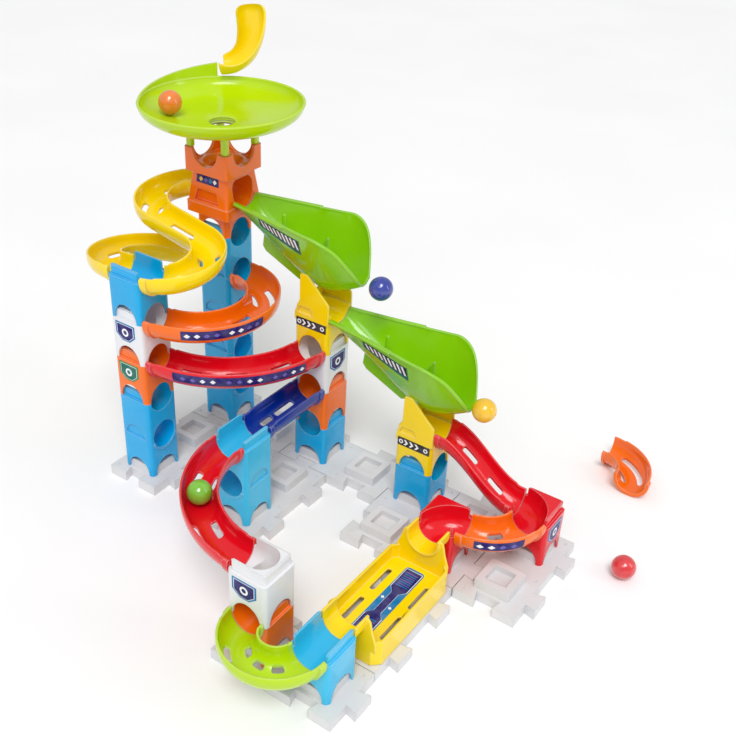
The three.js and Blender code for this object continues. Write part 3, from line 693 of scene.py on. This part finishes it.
def entry_wall():
    """Wall that climbs along the funnel's rim and steers a marble into the dish."""
    stations = 41

    def corner(station, k, side):
        along = station / (stations - 1)
        angle = math.radians(218 - 84 * along)
        radius = FUNNEL_RADIUS - 0.2 if side else FUNNEL_RADIUS - WALL
        height = FUNNEL_RIM - 3 + k / 6 * (3.5 + 14 * along)
        return Vector((radius * math.cos(angle), radius * math.sin(angle), height))

    return curved_plate(stations, 6, corner)


def chute():
    """Steep half-pipe that drops a marble onto the funnel's rim."""
    away = Vector((math.cos(CHUTE_HEADING), math.sin(CHUTE_HEADING), 0))
    aside = Vector((away.y, -away.x, 0))
    bends = [(0.5, 147), (12, 149), (22.5, 157), (29, 171), (31.5, 186), (31, 199)]
    line = smooth_line([Vector((-54.5, 61, 0)) + away * run + Vector((0, 0, z)) for run, z in bends], 8)
    facets = 20

    def corner(station, k, side):
        along = (line[min(station + 1, len(line) - 1)] - line[max(station - 1, 0)]).normalized()
        u = station / (len(line) - 1)
        opening = aside.cross(along)
        opening.rotate(Matrix.Rotation(CHUTE_TILT * u, 3, along))
        across = opening.cross(along)
        angle = math.pi * k / facets
        crest = 1 - 0.22 * max(0.0, (u - 0.86) / 0.14) ** 2
        radius = (CHUTE_PIPE + WALL if side else CHUTE_PIPE) * crest
        return line[station] + across * (radius * math.cos(angle)) - opening * (radius * math.sin(angle))

    return curved_plate(len(line), facets, corner)


# ---------------- tipping ramps

# Distance from the tower's axis, half-width, floor and rim of a ramp
RAMP_STATIONS = [
    (60, 21, 9.5, RAMP_RIM), (98, 28.5, -13.5, RAMP_RIM), (120, 33, -22.5, RAMP_RIM),
    (134, 35, -23.5, RAMP_RIM), (146, 32.5, -20.5, 35), (156, 26.5, -16.5, 27), (164, 18, -12.5, 13),
    (171, 7, -8.5, -4.5),
]


def ramp_line(start):
    return smooth_line([(start, 14.5, 30.6, RAMP_RIM), *RAMP_STATIONS], 5)


def ramp_skin(line, station, across, outwards):
    x, half_width, floor, rim = line[station]
    height = floor + (rim - floor) * across ** 2 - outwards * (1 - across ** 4)
    return Vector((x, across * (half_width + outwards), height))


def tipping_ramp(start):
    """One-piece ramp: scoop with a flanged rim, keel under it, a post and a fin."""
    line = ramp_line(start)
    facets = 24

    def corner(station, k, side):
        return ramp_skin(line, station, 1 - 2 * k / facets, WALL * side)

    shell = curved_plate(len(line), facets, corner)
    parts = []
    for side in (-1, 1):
        bead = [(ramp_skin(line, n, side, WALL / 2), 1.45) for n in range(len(line))]
        flange = [(edge + Vector((0, side * 0.9, 0.3)), 2.5) for edge, _ in bead if edge.x < FLANGE_END]
        for run in (bead, flange):
            rings = []
            for edge, width in run:
                section = rounded_rectangle(width, 1.3, 0.5, 2)
                rings.append([edge + Vector((0, y, z - 0.4)) for y, z in section])
            parts.append(loft(rings))
    keel = [(50, -4), (54, -9), (96, -27), (114, -21.2), (98, -14.6), (60, 8.4), (52, 12)]
    fin = [(100, -15.5), (129, -23.5), (129, 26), (127.5, 26)]
    parts.append(passage(keel, "y", -WALL / 2, WALL / 2))
    parts.append(passage(fin, "y", -1, 1))
    post = spindle([(2.6, -2), (2.4, 20), (2.0, 34), (1.5, 35.4), (0.6, 36)])
    parts.append(moved(post, 76))
    return joined(shell, *parts)


# ---------------- tracks


class Route:
    """Level line of a track: straight runs and arcs in plan, with a height at each fraction."""

    def __init__(self, runs, height_at):
        self.runs = runs
        self.height_at = height_at
        self.length = sum(length for length, _ in runs)

    def frame_at(self, u):
        """Place and leftward direction at a fraction of the length."""
        distance = min(max(u, 0), 1) * self.length
        for length, at in self.runs:
            if distance <= length or (length, at) == self.runs[-1]:
                (x, y), (tx, ty) = at(min(distance / length, 1))
                break
            distance -= length
        return Vector((x, y, self.height_at(u))), Vector((-ty, tx, 0))


def bend(x, y, radius, start, end):
    """A run round (x, y) from one angle to another, in degrees."""
    turn = 1 if end > start else -1

    def at(t):
        angle = math.radians(start + (end - start) * t)
        c, s = math.cos(angle), math.sin(angle)
        return (x + radius * c, y + radius * s), (-s * turn, c * turn)

    return math.radians(abs(end - start)) * radius, at


def straight(x0, y0, x1, y1):
    length = math.hypot(x1 - x0, y1 - y0)
    heading = ((x1 - x0) / length, (y1 - y0) / length)
    return length, lambda t: ((x0 + (x1 - x0) * t, y0 + (y1 - y0) * t), heading)


def gutter(inner, outer, rim, steps=22):
    """Closed outline of a half-pipe's wall with rounded rims."""
    tip = (outer - inner) / 2
    top = rim - tip
    right = arc(-inner - tip, PIPE_CENTRE + top, tip, tip, 0, 180, 4)
    left = arc(inner + tip, PIPE_CENTRE + top, tip, tip, 0, 180, 4)
    inside = arc(0, PIPE_CENTRE, inner, inner, 0, -180, steps)
    outside = arc(0, PIPE_CENTRE, outer, outer, -180, 0, steps)
    return inside + right + outside + left


def swept(route, places, section_at):
    """A section carried along a route through the given fractions of its length."""
    rings = []
    for u in places:
        place, left = route.frame_at(u)
        rings.append([place + left * across + Vector((0, 0, up)) for across, up in section_at(u)])
    return loft(rings)


def fractions(start, end, count):
    return [start + (end - start) * n / count for n in range(count + 1)]


def rim_height(route, u):
    """Rim of a track: lower near both ends."""
    nearest = min(u, 1 - u) * route.length
    rise = min(max((nearest - END_RIM_LENGTH) / 1.5, 0), 1)
    return END_RIM + (TRACK_RIM - END_RIM) * rise


def slot_cutter(route, u0, u1, middle):
    """Upright cutter for a drain slot that follows the route at a distance from its middle line."""
    rings = []
    for u in fractions(u0, u1, 16):
        place, left = route.frame_at(u)
        to_end = min(u - u0, u1 - u) * route.length
        narrow = max(0.0, 1 - to_end / SLOT_ROUND)
        half = SLOT_WIDTH / 2 * math.sqrt(1 - 0.8 * narrow ** 2)
        corners = [(middle - half, -17), (middle + half, -17), (middle + half, -5.5), (middle - half, -5.5)]
        rings.append([place + left * across + Vector((0, 0, up)) for across, up in corners])
    return loft(rings)


def track(route, slots):
    """Half-pipe with an end collar at both ends, a stepped rim and round-ended drain slots."""
    margin = GAP / route.length
    collar = COLLAR_LENGTH / route.length
    steps = [END_RIM_LENGTH / route.length, (END_RIM_LENGTH + 1.5) / route.length]
    places = fractions(margin, 1 - margin, max(4, round(route.length / STATION)))
    places = [u for u in places if all(abs(u - s) > 0.004 and abs(1 - u - s) > 0.004 for s in steps)]
    places = sorted(places + steps + [1 - s for s in steps])
    body = swept(route, places, lambda u: gutter(PIPE, PIPE + WALL, rim_height(route, u)))
    thick = gutter(PIPE + WALL / 2, PIPE + WALL + COLLAR, END_RIM - 0.8)
    end_runs = ((margin, collar), (1 - collar, 1 - margin))
    collars = [swept(route, fractions(*ends, 3), lambda u: thick) for ends in end_runs]
    cutters = [slot_cutter(route, *slot, side * SLOT_PLACE) for slot in slots for side in (-1, 1)]
    return carved(joined(body, *collars), *cutters)


def level_line(k):
    return TILE_HEIGHT + k * LEVEL


def level(k):
    return lambda u: level_line(k)


def falling(start, end):
    return lambda u: level_line(start) + (level_line(end) - level_line(start)) * u


def easing(start, end):
    return lambda u: falling(start, end)((1 - math.cos(math.pi * u)) / 2)


QUARTER = 2 * PITCH - HALF
DOUBLE_BEND = [
    bend(-BAND_HALF, 1.5 * PITCH, PITCH / 2, 90, 270),
    straight(-BAND_HALF, PITCH, HALF, PITCH),
    bend(HALF, PITCH / 2, PITCH / 2, 90, -90),
]
THREE_SLOTS = [(0.14, 0.3), (0.42, 0.58), (0.7, 0.86)]
TRACKS = {
    "double_bend_track": (Route(DOUBLE_BEND, falling(6, 5)),
                          [(0.1, 0.16), (0.24, 0.3), (0.42, 0.54), (0.67, 0.73), (0.82, 0.88)]),
    "back_curve_track": (Route([bend(-HALF, PITCH, PITCH, 270, 90)], falling(5, 4)), THREE_SLOTS),
    "side_curve_track": (Route([bend(HALF, PITCH, PITCH, 90, -90)], level(4)), THREE_SLOTS),
    "long_curve_track": (Route([bend(HALF, QUARTER, QUARTER, 270, 360)], level(3)),
                         [(0.12, 0.28), (0.42, 0.58), (0.72, 0.88)]),
    "straight_track": (Route([straight(2 * PITCH, 2 * PITCH - HALF, 2 * PITCH, HALF)], level(2)),
                       [(0.2, 0.54), (0.6, 0.8)]),
    "quarter_curve_track": (Route([bend(4 * PITCH - HALF, -HALF, QUARTER, 180, 270)], level(2)),
                            [(0.2, 0.34), (0.62, 0.76)]),
    "u_turn_track": (Route([bend(4.5 * PITCH, -2 * PITCH - HALF, PITCH / 2, 180, 360)], level(1)),
                     [(0.2, 0.34), (0.43, 0.57), (0.66, 0.8)]),
    "short_curve_track": (Route([bend(5 * PITCH + HALF, 2 * PITCH - HALF, PITCH - HALF, 360, 270)], level(1)),
                          [(0.36, 0.64)]),
    "slope_track": (Route([straight(4 * PITCH + HALF, 2 * PITCH, 6 * PITCH - HALF, 2 * PITCH)], easing(2, 1)),
                    [(0.22, 0.41), (0.57, 0.76)]),
}


def spare_curve():
    """Route and slots of the spare curve, lying on the floor, about the centre of its bend."""
    radius = PITCH - HALF
    rest = PIPE + WALL + COLLAR - PIPE_CENTRE + GAP
    return Route([bend(0, 0, radius, 0, 90)], lambda u: rest), [(0.2, 0.8)]


# ---------------- tray


def chamfered(half_width, half_length, chamfer):
    return [
        (-half_width + chamfer, -half_length), (half_width - chamfer, -half_length),
        (half_width, -half_length + chamfer), (half_width, half_length - chamfer),
        (half_width - chamfer, half_length), (-half_width + chamfer, half_length),
        (-half_width, half_length - chamfer), (-half_width, -half_length + chamfer),
    ]


def tray():
    """Collecting tray between two towers: a deep bay, curved end walls and a spout at each end."""
    half = TRAY_LENGTH / 2 - GAP
    bay = half - 15
    body = carved(
        prism(chamfered(TRAY_HALF, bay, 7), 0.5, TRAY_RIM),
        prism(chamfered(TRAY_HALF - WALL, bay - WALL, 5), TRAY_FLOOR, TRAY_RIM + 1),
        prism(chamfered(TRAY_HALF - WALL - 1, bay - WALL - 1, 5), -1, TRAY_FLOOR - WALL),
    )
    spout = channel_outline(PIPE + WALL, LEVEL + PIPE_CENTRE, LEVEL + 7)
    shoulder = TRAY_HALF - 3
    rise = [(shoulder, TRAY_RIM - 1), (PIPE + 8, LEVEL - 7), (PIPE + 5.5, LEVEL + 3), (PIPE + 3, LEVEL + 6)]
    right = [(p.x, p.y) for p in smooth_line(rise, 5)]
    left = [(-x, y) for x, y in right[::-1]]
    end_wall = [(-shoulder, TRAY_RIM - 10), (shoulder, TRAY_RIM - 10), *right, *left]
    for end in (-1, 1):
        spout_span = sorted((end * (bay - 4), end * half))
        wall_span = sorted((end * (bay - WALL), end * bay))
        body = joined(body, passage(spout, "y", *spout_span), passage(end_wall, "y", *wall_span))
    bore = channel_outline(PIPE, LEVEL + PIPE_CENTRE, LEVEL + 8)
    cutters = [passage(bore, "y", -half - 1, half + 1)]
    for x in (-20, 20):
        for y in (-22, 22):
            outline = rounded_rectangle(SLOT_WIDTH / 2, 16, SLOT_WIDTH / 2 - 0.05)
            cutters.append(moved(prism(outline, 5, TRAY_FLOOR + 1), x, y))
    return carved(body, *cutters)


# ---------------- base tiles


def tile_outline(columns, rows):
    """Outline of a tile: dovetail tabs on its +X and +Y edges and sockets on the other two."""
    sides = [((0, 0), (1, 0), columns, -1), ((columns, 0), (0, 1), rows, 1),
             ((columns, rows), (-1, 0), columns, 1), ((0, rows), (0, -1), rows, -1)]
    points = []
    for (sx, sy), (hx, hy), cells, out in sides:
        def on_edge(run, outwards):
            reach = outwards - TILE_GAP
            return (sx * PITCH + hx * run + hy * reach, sy * PITCH + hy * run - hx * reach)
        points.append(on_edge(TILE_GAP, 0))
        neck = DOVETAIL_NECK - out * TILE_GAP / 2
        head = DOVETAIL_HEAD - out * TILE_GAP / 2
        reach = out * DOVETAIL_REACH
        for cell in range(cells):
            middle = (cell + 0.5) * PITCH
            points += [on_edge(middle - neck, 0), on_edge(middle - head, reach)]
            points += [on_edge(middle + head, reach), on_edge(middle + neck, 0)]
    return points


def tile(columns, rows):
    """Tile with a raised, hollow-topped plug on each cell and ejector marks beside it."""
    top = TILE_HEIGHT + PLUG_HEIGHT
    body = moved(prism(tile_outline(columns, rows), 0, TILE_HEIGHT), -PITCH / 2, -PITCH / 2)
    cells = [(c * PITCH, r * PITCH) for c in range(columns) for r in range(rows)]
    plugs = [moved(prism(rounded_square(PLUG_HALF, 1.2), TILE_HEIGHT - 1, top), x, y) for x, y in cells]
    cutters = []
    for x, y in cells:
        cutters.append(moved(prism(rounded_square(10.4, 1.0), top - 6, top + 1), x, y))
        for side in (-1, 1):
            mark = prism(circle(1.5), TILE_HEIGHT - 0.5, TILE_HEIGHT + 1)
            cutters.append(moved(mark, x + side * 24, y + side * 24))
    return carved(joined(body, *plugs), *cutters)


# ---------------- stickers

FILM = 0.28  # how far a sticker stands proud
PRINT = 0.12  # how far a printed mark stands proud of its sticker
MARK_SPACING = 0.22  # between the diamonds on a track's sticker, as a share of their group


def on_face(outline, face, x, z, reach, thickness):
    """An outline (sideways, up) as a thin plate on a -Y or +X face that stands at reach."""
    shifted = [(side + x, up + z) for side, up in outline]
    if face == "-y":
        return passage(shifted, "y", -reach - thickness, -reach + 0.05)
    return passage(shifted, "x", reach - 0.05, reach + thickness)


def badge(name, node, face, colour, rim_colour, x=-1.5, z=31.5):
    """Six-sided sticker with a pale line near its edge and a plain ring in its middle."""
    origin = base_of(node)
    outline = [(-12.5, 9.5), (12.5, 9.5), (12.5, -3), (5, -9.5), (-5, -9.5), (-12.5, -3)]
    layers = ((1, rim_colour, "edge"), (0.86, "white", "line"), (0.81, colour, "field"))
    for n, (share, layer_colour, layer) in enumerate(layers):
        shape = [(px * share, pz * share) for px, pz in outline]
        plate = on_face(shape, face, x, z, HALF, FILM + n * PRINT)
        film(f"{name}_badge_{layer}", plate, origin, layer_colour)
    ring = on_face(circle(4.2), face, x, z, HALF, FILM + 3 * PRINT)
    hole = on_face(circle(2.3), face, x, z, HALF - 1, FILM + 6)
    film(f"{name}_badge_ring", carved(ring, hole), origin, "white")


def diamond(half):
    return [(-half, 0), (0, -half), (half, 0), (0, half)]


def catcher_strip(name, node):
    """Dark strip with three pale chevron bars and a ring on each side."""
    origin = base_of(node)
    z = 29
    film(f"{name}_strip", on_face(rounded_rectangle(17.8, 4.6, 0.8), "-y", 0, z, HALF, FILM), origin, "black")
    bar = [(-2, 3), (0.4, 3), (3, 0), (0.4, -3), (-2, -3), (0.6, 0)]
    for n, x in enumerate((-9, -3, 3)):
        film(f"{name}_bar_{n + 1}", on_face(bar, "-y", x, z, HALF, FILM + PRINT), origin, "white")
    for n, x in enumerate((-14, 13.5)):
        ring = on_face(circle(2.4), "-y", x, z, HALF, FILM + PRINT)
        hole = on_face(circle(1.2), "-y", x, z, HALF - 1, FILM + 6)
        film(f"{name}_ring_{n + 1}", carved(ring, hole), origin, "white")


def wall_strip(route, side, u0, u1, low, high, proud):
    """Thin plate on the outer wall of a track between two fractions and two heights."""
    radius = PIPE + WALL
    heights = fractions(low, high, 6)

    def point(up, skin):
        if up >= 0:
            return side * (radius + skin), PIPE_CENTRE + up
        angle = math.asin(max(up / radius, -1))
        return side * (radius + skin) * math.cos(angle), PIPE_CENTRE + (radius + skin) * math.sin(angle)

    section = [point(up, -0.05) for up in heights] + [point(up, proud) for up in heights[::-1]]
    steps = max(2, round((u1 - u0) * route.length / 2))
    return swept(route, fractions(u0, u1, steps), lambda u: section)


def track_sticker(name, route, side, u0, u1, colour, marks, low=-7.5, high=2.6):
    """Long sticker on a track's outer wall, with small printed diamonds along it."""
    film(f"{name}_sticker", wall_strip(route, side, u0, u1, low, high, FILM), GRID_ORIGIN, colour)
    for n, (share, mark_colour) in enumerate(marks):
        middle = u0 + (u1 - u0) * share
        half = 1.6 / route.length
        centre = (low + high) / 2
        mark = wall_diamond(route, side, middle, half, centre, 2.3)
        film(f"{name}_mark_{n + 1}", mark, GRID_ORIGIN, mark_colour)


def wall_diamond(route, side, middle, half, centre, tall):
    """Diamond-shaped plate on a track's outer wall."""
    radius = PIPE + WALL
    rings = []
    for share in (-1, -0.5, 0, 0.5, 1):
        spread = tall * (1.02 - abs(share))
        place, left = route.frame_at(middle + half * 1.5 * share)
        ring = []
        for skin, ups in ((-0.05, (centre - spread, centre, centre + spread)),
                          (FILM + PRINT, (centre + spread, centre, centre - spread))):
            for up in ups:
                angle = math.asin(min(up, 0) / radius)
                reach = side * (radius + skin) * math.cos(angle)
                rise = (radius + skin) * math.sin(angle) if up < 0 else up
                ring.append(place + left * reach + Vector((0, 0, PIPE_CENTRE + rise)))
        rings.append(ring)
    return loft(rings)


def ramp_sticker(name, start, origin, body):
    """Dark green strip with a dark band of pale slanted bars on the near side of a ramp."""
    stations = ramp_line(start)

    def station_at(x):
        for a, b in zip(stations, stations[1:]):
            if a[0] <= x <= b[0]:
                return a.lerp(b, (x - a[0]) / (b[0] - a[0]))
        return stations[-1]

    def skin(x, across, lift):
        return ramp_skin([station_at(x)], 0, -across, WALL + lift)

    def patch(x0, x1, top, bottom, lift, slant=0):
        rings = []
        for x in fractions(x0, x1, max(2, round((x1 - x0) / 2))):
            ring = [skin(x + slant * (top - a), a, -0.1) for a in fractions(top, bottom, 4)]
            ring += [skin(x + slant * (top - a), a, lift) for a in fractions(bottom, top, 4)]
            rings.append(ring)
        return loft(rings)

    x0, x1 = 62, 118
    film(f"{name}_strip", patch(x0, x1, 0.94, 0.8, FILM), origin, "teal", body)
    film(f"{name}_band", patch(x0 + 1, x1 - 1, 0.935, 0.84, FILM + PRINT), origin, "black", body)
    bars = 9
    for n in range(bars):
        x = x0 + 2.5 + (x1 - x0 - 10) * n / (bars - 1)
        bar = patch(x, x + 2.6, 0.93, 0.845, FILM + 2 * PRINT, slant=40)
        film(f"{name}_bar_{n + 1}", bar, origin, "white", body)


def tray_panel(origin):
    """Dark panel in the tray's floor: two wide ends joined by a narrow middle, on a lighter plate."""
    def plate(outline, rise):
        return prism(outline, TRAY_FLOOR - 0.1, TRAY_FLOOR + rise)

    film("tray_panel", plate(rounded_rectangle(9.6, 50, 3.5), FILM), origin, "blue")
    right = [(8, 47), (8, 20), (3.4, 14), (3.4, -14), (8, -20), (8, -47)]
    outline = right + [(-x, y) for x, y in right[::-1]]
    film("tray_panel_line", plate([(x * 1.07, y * 1.012) for x, y in outline], FILM + PRINT), origin, "white")
    film("tray_panel_field", plate(outline, FILM + 2 * PRINT), origin, "navy")
    for n, (x, y) in enumerate(((-6.4, 4), (6.4, -4))):
        dot = [(x + px, y + py) for px, py in diamond(1.7)]
        film(f"tray_panel_dot_{n + 1}", plate(dot, FILM + 2 * PRINT), origin, "white")
    for n in range(8):
        y = 24 + 2.6 * n
        for side, end in ((1, "far"), (-1, "near")):
            bar = [(-6, side * y), (6, side * y), (6, side * (y + 1.1)), (-6, side * (y + 1.1))]
            colour = "violet" if n % 2 else "blue"
            film(f"tray_panel_bar_{end}_{n + 1}", plate(bar, FILM + 3 * PRINT), origin, colour)


def head_sticker():
    """Sticker above the niche of the splitter: dark plate with four plain diamonds."""
    origin = base_of("splitter")
    slope = (TAPER_FOOT_HALF - HEAD_TOP_HALF) / (HEAD_TOP - BAND_TOP + 2)

    def plate(outline, lift):
        rings = []
        for out in (-0.1, lift):
            ring = []
            for x, z in outline:
                reach = HEAD_TOP_HALF + slope * (HEAD_TOP - z)
                ring.append((x, -reach - out, z))
            rings.append(ring)
        return loft(rings)

    field = [(-15, 53.6), (13.8, 53.6), (12.8, 61.6), (-14.4, 61.6)]
    film("splitter_sticker", plate(field, FILM), origin, "navy")
    for n, (x, colour) in enumerate(((-9, "amber"), (-3, "violet"), (3, "blue"), (8.6, "white"))):
        mark = [(x + px, 57.6 + pz) for px, pz in diamond(2.5)]
        film(f"splitter_mark_{n + 1}", plate(mark, FILM + PRINT), origin, colour)


# ---------------- assembly

TUNNELS_RIGHT = [(1, 1)]
BLOCKS = {
    "left_double_block": channel_block("x", 2, TUNNELS_RIGHT),
    "left_turn_block": turn_block("+x"),
    "left_drop_block": drop_block("+x"),
    "left_top_block": channel_block("x"),
    "tall_lower_double_block": channel_block("x", 2, TUNNELS_RIGHT),
    "tall_upper_double_block": channel_block("x", 2, TUNNELS_RIGHT),
    "tall_top_block": channel_block("x"),
    "splitter": splitter(),
    "splitter_crown": crown(),
    "middle_block": channel_block("y"),
    "middle_turn_block": turn_block("-y"),
    "middle_drop_block": drop_block("-y"),
    "middle_catcher": catcher_block(),
    "front_double_block": channel_block("y", 2, [(-1, 1)]),
    "right_block": channel_block("x"),
    "right_catcher": catcher_block(),
    "front_turn_block": turn_block("-y"),
    "front_drop_block": drop_block("-x"),
    "front_channel_block": channel_block("y"),
    "inner_curve_block": curve_block(1, -1),
    "outer_curve_block": curve_block(-1, -1),
}
for node, mesh in BLOCKS.items():
    moulding(node, mesh, base_of(node))

splitter_base = base_of("splitter")
moulding("swirl_funnel", funnel(), splitter_base, bevel=0.3)
moulding("entry_chute", chute(), splitter_base, bevel=0.5)

for node, (route, slots) in TRACKS.items():
    moulding(node, track(route, slots), GRID_ORIGIN, bevel=0.3)

spare_route, spare_slots = spare_curve()
spare_low, spare_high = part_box("spare_curve_track")
spare_outer = PITCH - HALF + PIPE + WALL + COLLAR
spare_corner = Vector((spare_high.x, spare_high.y, 0)) / MM - Vector((spare_outer, spare_outer, 0))
moulding("spare_curve_track", track(spare_route, spare_slots), spare_corner, bevel=0.3)

TILES = [(0, 0, 1, 2), (0, 2, 2, 1), (2, 2, 2, 1), (2, 0, 1, 2), (4, 1, 1, 2), (5, 1, 1, 2), (6, 1, 1, 2),
         (5, -1, 1, 2), (4, -2, 2, 1)]
for n, (column, row, columns, rows) in enumerate(TILES):
    moulding(f"base_tile_{n + 1}", tile(columns, rows), at_grid(column, row))

tray_origin = at_grid(5, -0.5, TILE_HEIGHT)
moulding("collecting_tray", tray(), tray_origin)

UPPER_START = BAND_HALF + 2 * GAP
LOWER_START = HALF + 2 * GAP
upper_origin = at_grid(0, 2, level_line(5))
lower_origin = at_grid(2, 2, level_line(3))
moulding("upper_tipping_ramp", tipping_ramp(UPPER_START), upper_origin, bevel=0.3)
moulding("lower_tipping_ramp", tipping_ramp(LOWER_START), lower_origin, bevel=0.3)


def marble(node):
    """Polished ball with a faint moulding seam round it."""
    low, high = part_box(node)
    centre = (low + high) / 2 / MM
    ball = bmesh.new()
    bmesh.ops.create_icosphere(ball, subdivisions=5, radius=MARBLE_RADIUS)
    seam_axis = Vector((0.5, 0.2, 0.84)).normalized()
    for vertex in ball.verts:
        off = abs(vertex.co.dot(seam_axis))
        if off < SEAM_HALF:
            vertex.co *= 1 - SEAM_DEPTH * (1 - off / SEAM_HALF)
    mesh = bpy.data.meshes.new(node)
    ball.to_mesh(mesh)
    ball.free()
    plastic = PLASTICS[NODE_SLOTS[node]]
    standing_for(node, shown(f"{node}_ball", mesh, centre, plastic, bevel=0, smooth_angle=60))


for colour in ("orange", "blue", "yellow", "green", "red"):
    marble(f"{colour}_marble")

badge("left_drop", "left_drop_block", "-y", "navy", "blue")
badge("left_turn", "left_turn_block", "-y", "teal", "green")
badge("front_drop", "front_drop_block", "-y", "navy", "blue")
badge("middle_drop", "middle_drop_block", "+x", "navy", "blue")
badge("outer_curve", "outer_curve_block", "+x", "navy", "blue")
catcher_strip("middle_catcher", "middle_catcher")
catcher_strip("right_catcher", "right_catcher")
head_sticker()
tray_panel(tray_origin)
ramp_sticker("upper_ramp", UPPER_START, upper_origin, "upper_ramp")
ramp_sticker("lower_ramp", LOWER_START, lower_origin, "lower_ramp")


def repeated_marks(groups, start):
    """Groups of four marks that change from violet to white: (share of the sticker, colour)."""
    marks = []
    for group in range(groups):
        for n, colour in enumerate(("violet", "violet", "white", "white")):
            marks.append((start + (group + 0.12 + n * MARK_SPACING) / groups, colour))
    return marks


# Name, side of the wall, first and last fraction, groups of marks and where they start
STICKERS = (("long_curve", -1, 0.16, 0.86, 3, 0.04), ("side_curve", 1, 0.5, 0.84, 2, 0.04),
            ("quarter_curve", -1, 0.2, 0.46, 1, 0.1), ("short_curve", 1, 0.3, 0.8, 1, 0.1))
for name, side, first, last, groups, start in STICKERS:
    route = TRACKS[f"{name}_track"][0]
    track_sticker(name, route, side, first, last, "navy", repeated_marks(groups, start))

# ---------------- floor, light and camera

FLOOR_HALF = 6  # metres
SUN_DIRECTION = Vector((-0.35, 0.5, -1))


def studio_floor():
    mesh = bpy.data.meshes.new("studio_floor")
    corners = [(x * FLOOR_HALF, y * FLOOR_HALF, 0) for x, y in ((-1, -1), (1, -1), (1, 1), (-1, 1))]
    mesh.from_pydata(corners, [], [(0, 1, 2, 3)])
    floor = added("studio_floor", mesh)
    nodes = Nodes("studio_paper")
    place = nodes.add("ShaderNodeTexCoord").outputs["Object"]
    tone = nodes.noise(place, 3, detail=2)
    nodes.link(nodes.ramp(tone, [(0.3, (0.90, 0.90, 0.91, 1)), (0.7, (0.93, 0.93, 0.935, 1))]),
               nodes.shader.inputs["Base Color"])
    mesh.materials.append(nodes.finish(Roughness=0.75))


def softbox(name, place, target, size, power):
    data = bpy.data.lights.new(name, "AREA")
    data.shape = "RECTANGLE"
    data.size, data.size_y = size
    data.energy = power
    item = added(name, data)
    item.location = place
    item.rotation_euler = (Vector(target) - Vector(place)).to_track_quat("-Z", "Y").to_euler()


def studio_light():
    world = bpy.data.worlds.new("studio")
    world.use_nodes = True
    background = world.node_tree.nodes["Background"]
    background.inputs["Color"].default_value = (1, 1, 1, 1)
    background.inputs["Strength"].default_value = 0.62
    bpy.context.scene.world = world
    middle = (0, 0, 0.15)
    softbox("window", (0.5, -1.4, 1.6), middle, (1.0, 0.35), 5)
    softbox("side", (1.6, 0.5, 0.9), middle, (0.3, 1.0), 3)
    sun = bpy.data.lights.new("sun", "SUN")
    sun.energy = 1.5
    sun.angle = math.radians(25)
    added("sun", sun).rotation_euler = SUN_DIRECTION.to_track_quat("-Z", "Y").to_euler()
    bpy.context.scene.view_settings.view_transform = "Standard"


# Camera: place from the left tower's axis in millimetres, and heading, drop and roll in degrees
CAMERA_PLACE = Vector((633.35, -585.5, 662.3))
CAMERA_TURN = (126.16, 32.99, 1.2485)
LENS = 49.53


def camera():
    """The camera stands to the right of the run and looks down over it."""
    azimuth, drop, roll = (math.radians(angle) for angle in CAMERA_TURN)
    level_part = math.cos(drop)
    forward = Vector((math.cos(azimuth) * level_part, math.sin(azimuth) * level_part, -math.sin(drop)))
    right = Vector((math.sin(azimuth), -math.cos(azimuth), 0))
    up = right.cross(forward)
    side = right * math.cos(roll) + up * math.sin(roll)
    top = up * math.cos(roll) - right * math.sin(roll)
    data = bpy.data.cameras.new("camera")
    data.lens = LENS
    data.sensor_width = 36
    data.shift_x = 0.0750
    data.shift_y = 0.0212
    item = added("camera", data)
    turn = Matrix((side, top, -forward)).transposed().to_4x4()
    item.matrix_world = Matrix.Translation((GRID_ORIGIN + CAMERA_PLACE) * MM) @ turn
    bpy.context.scene.camera = item


studio_floor()
studio_light()
camera()
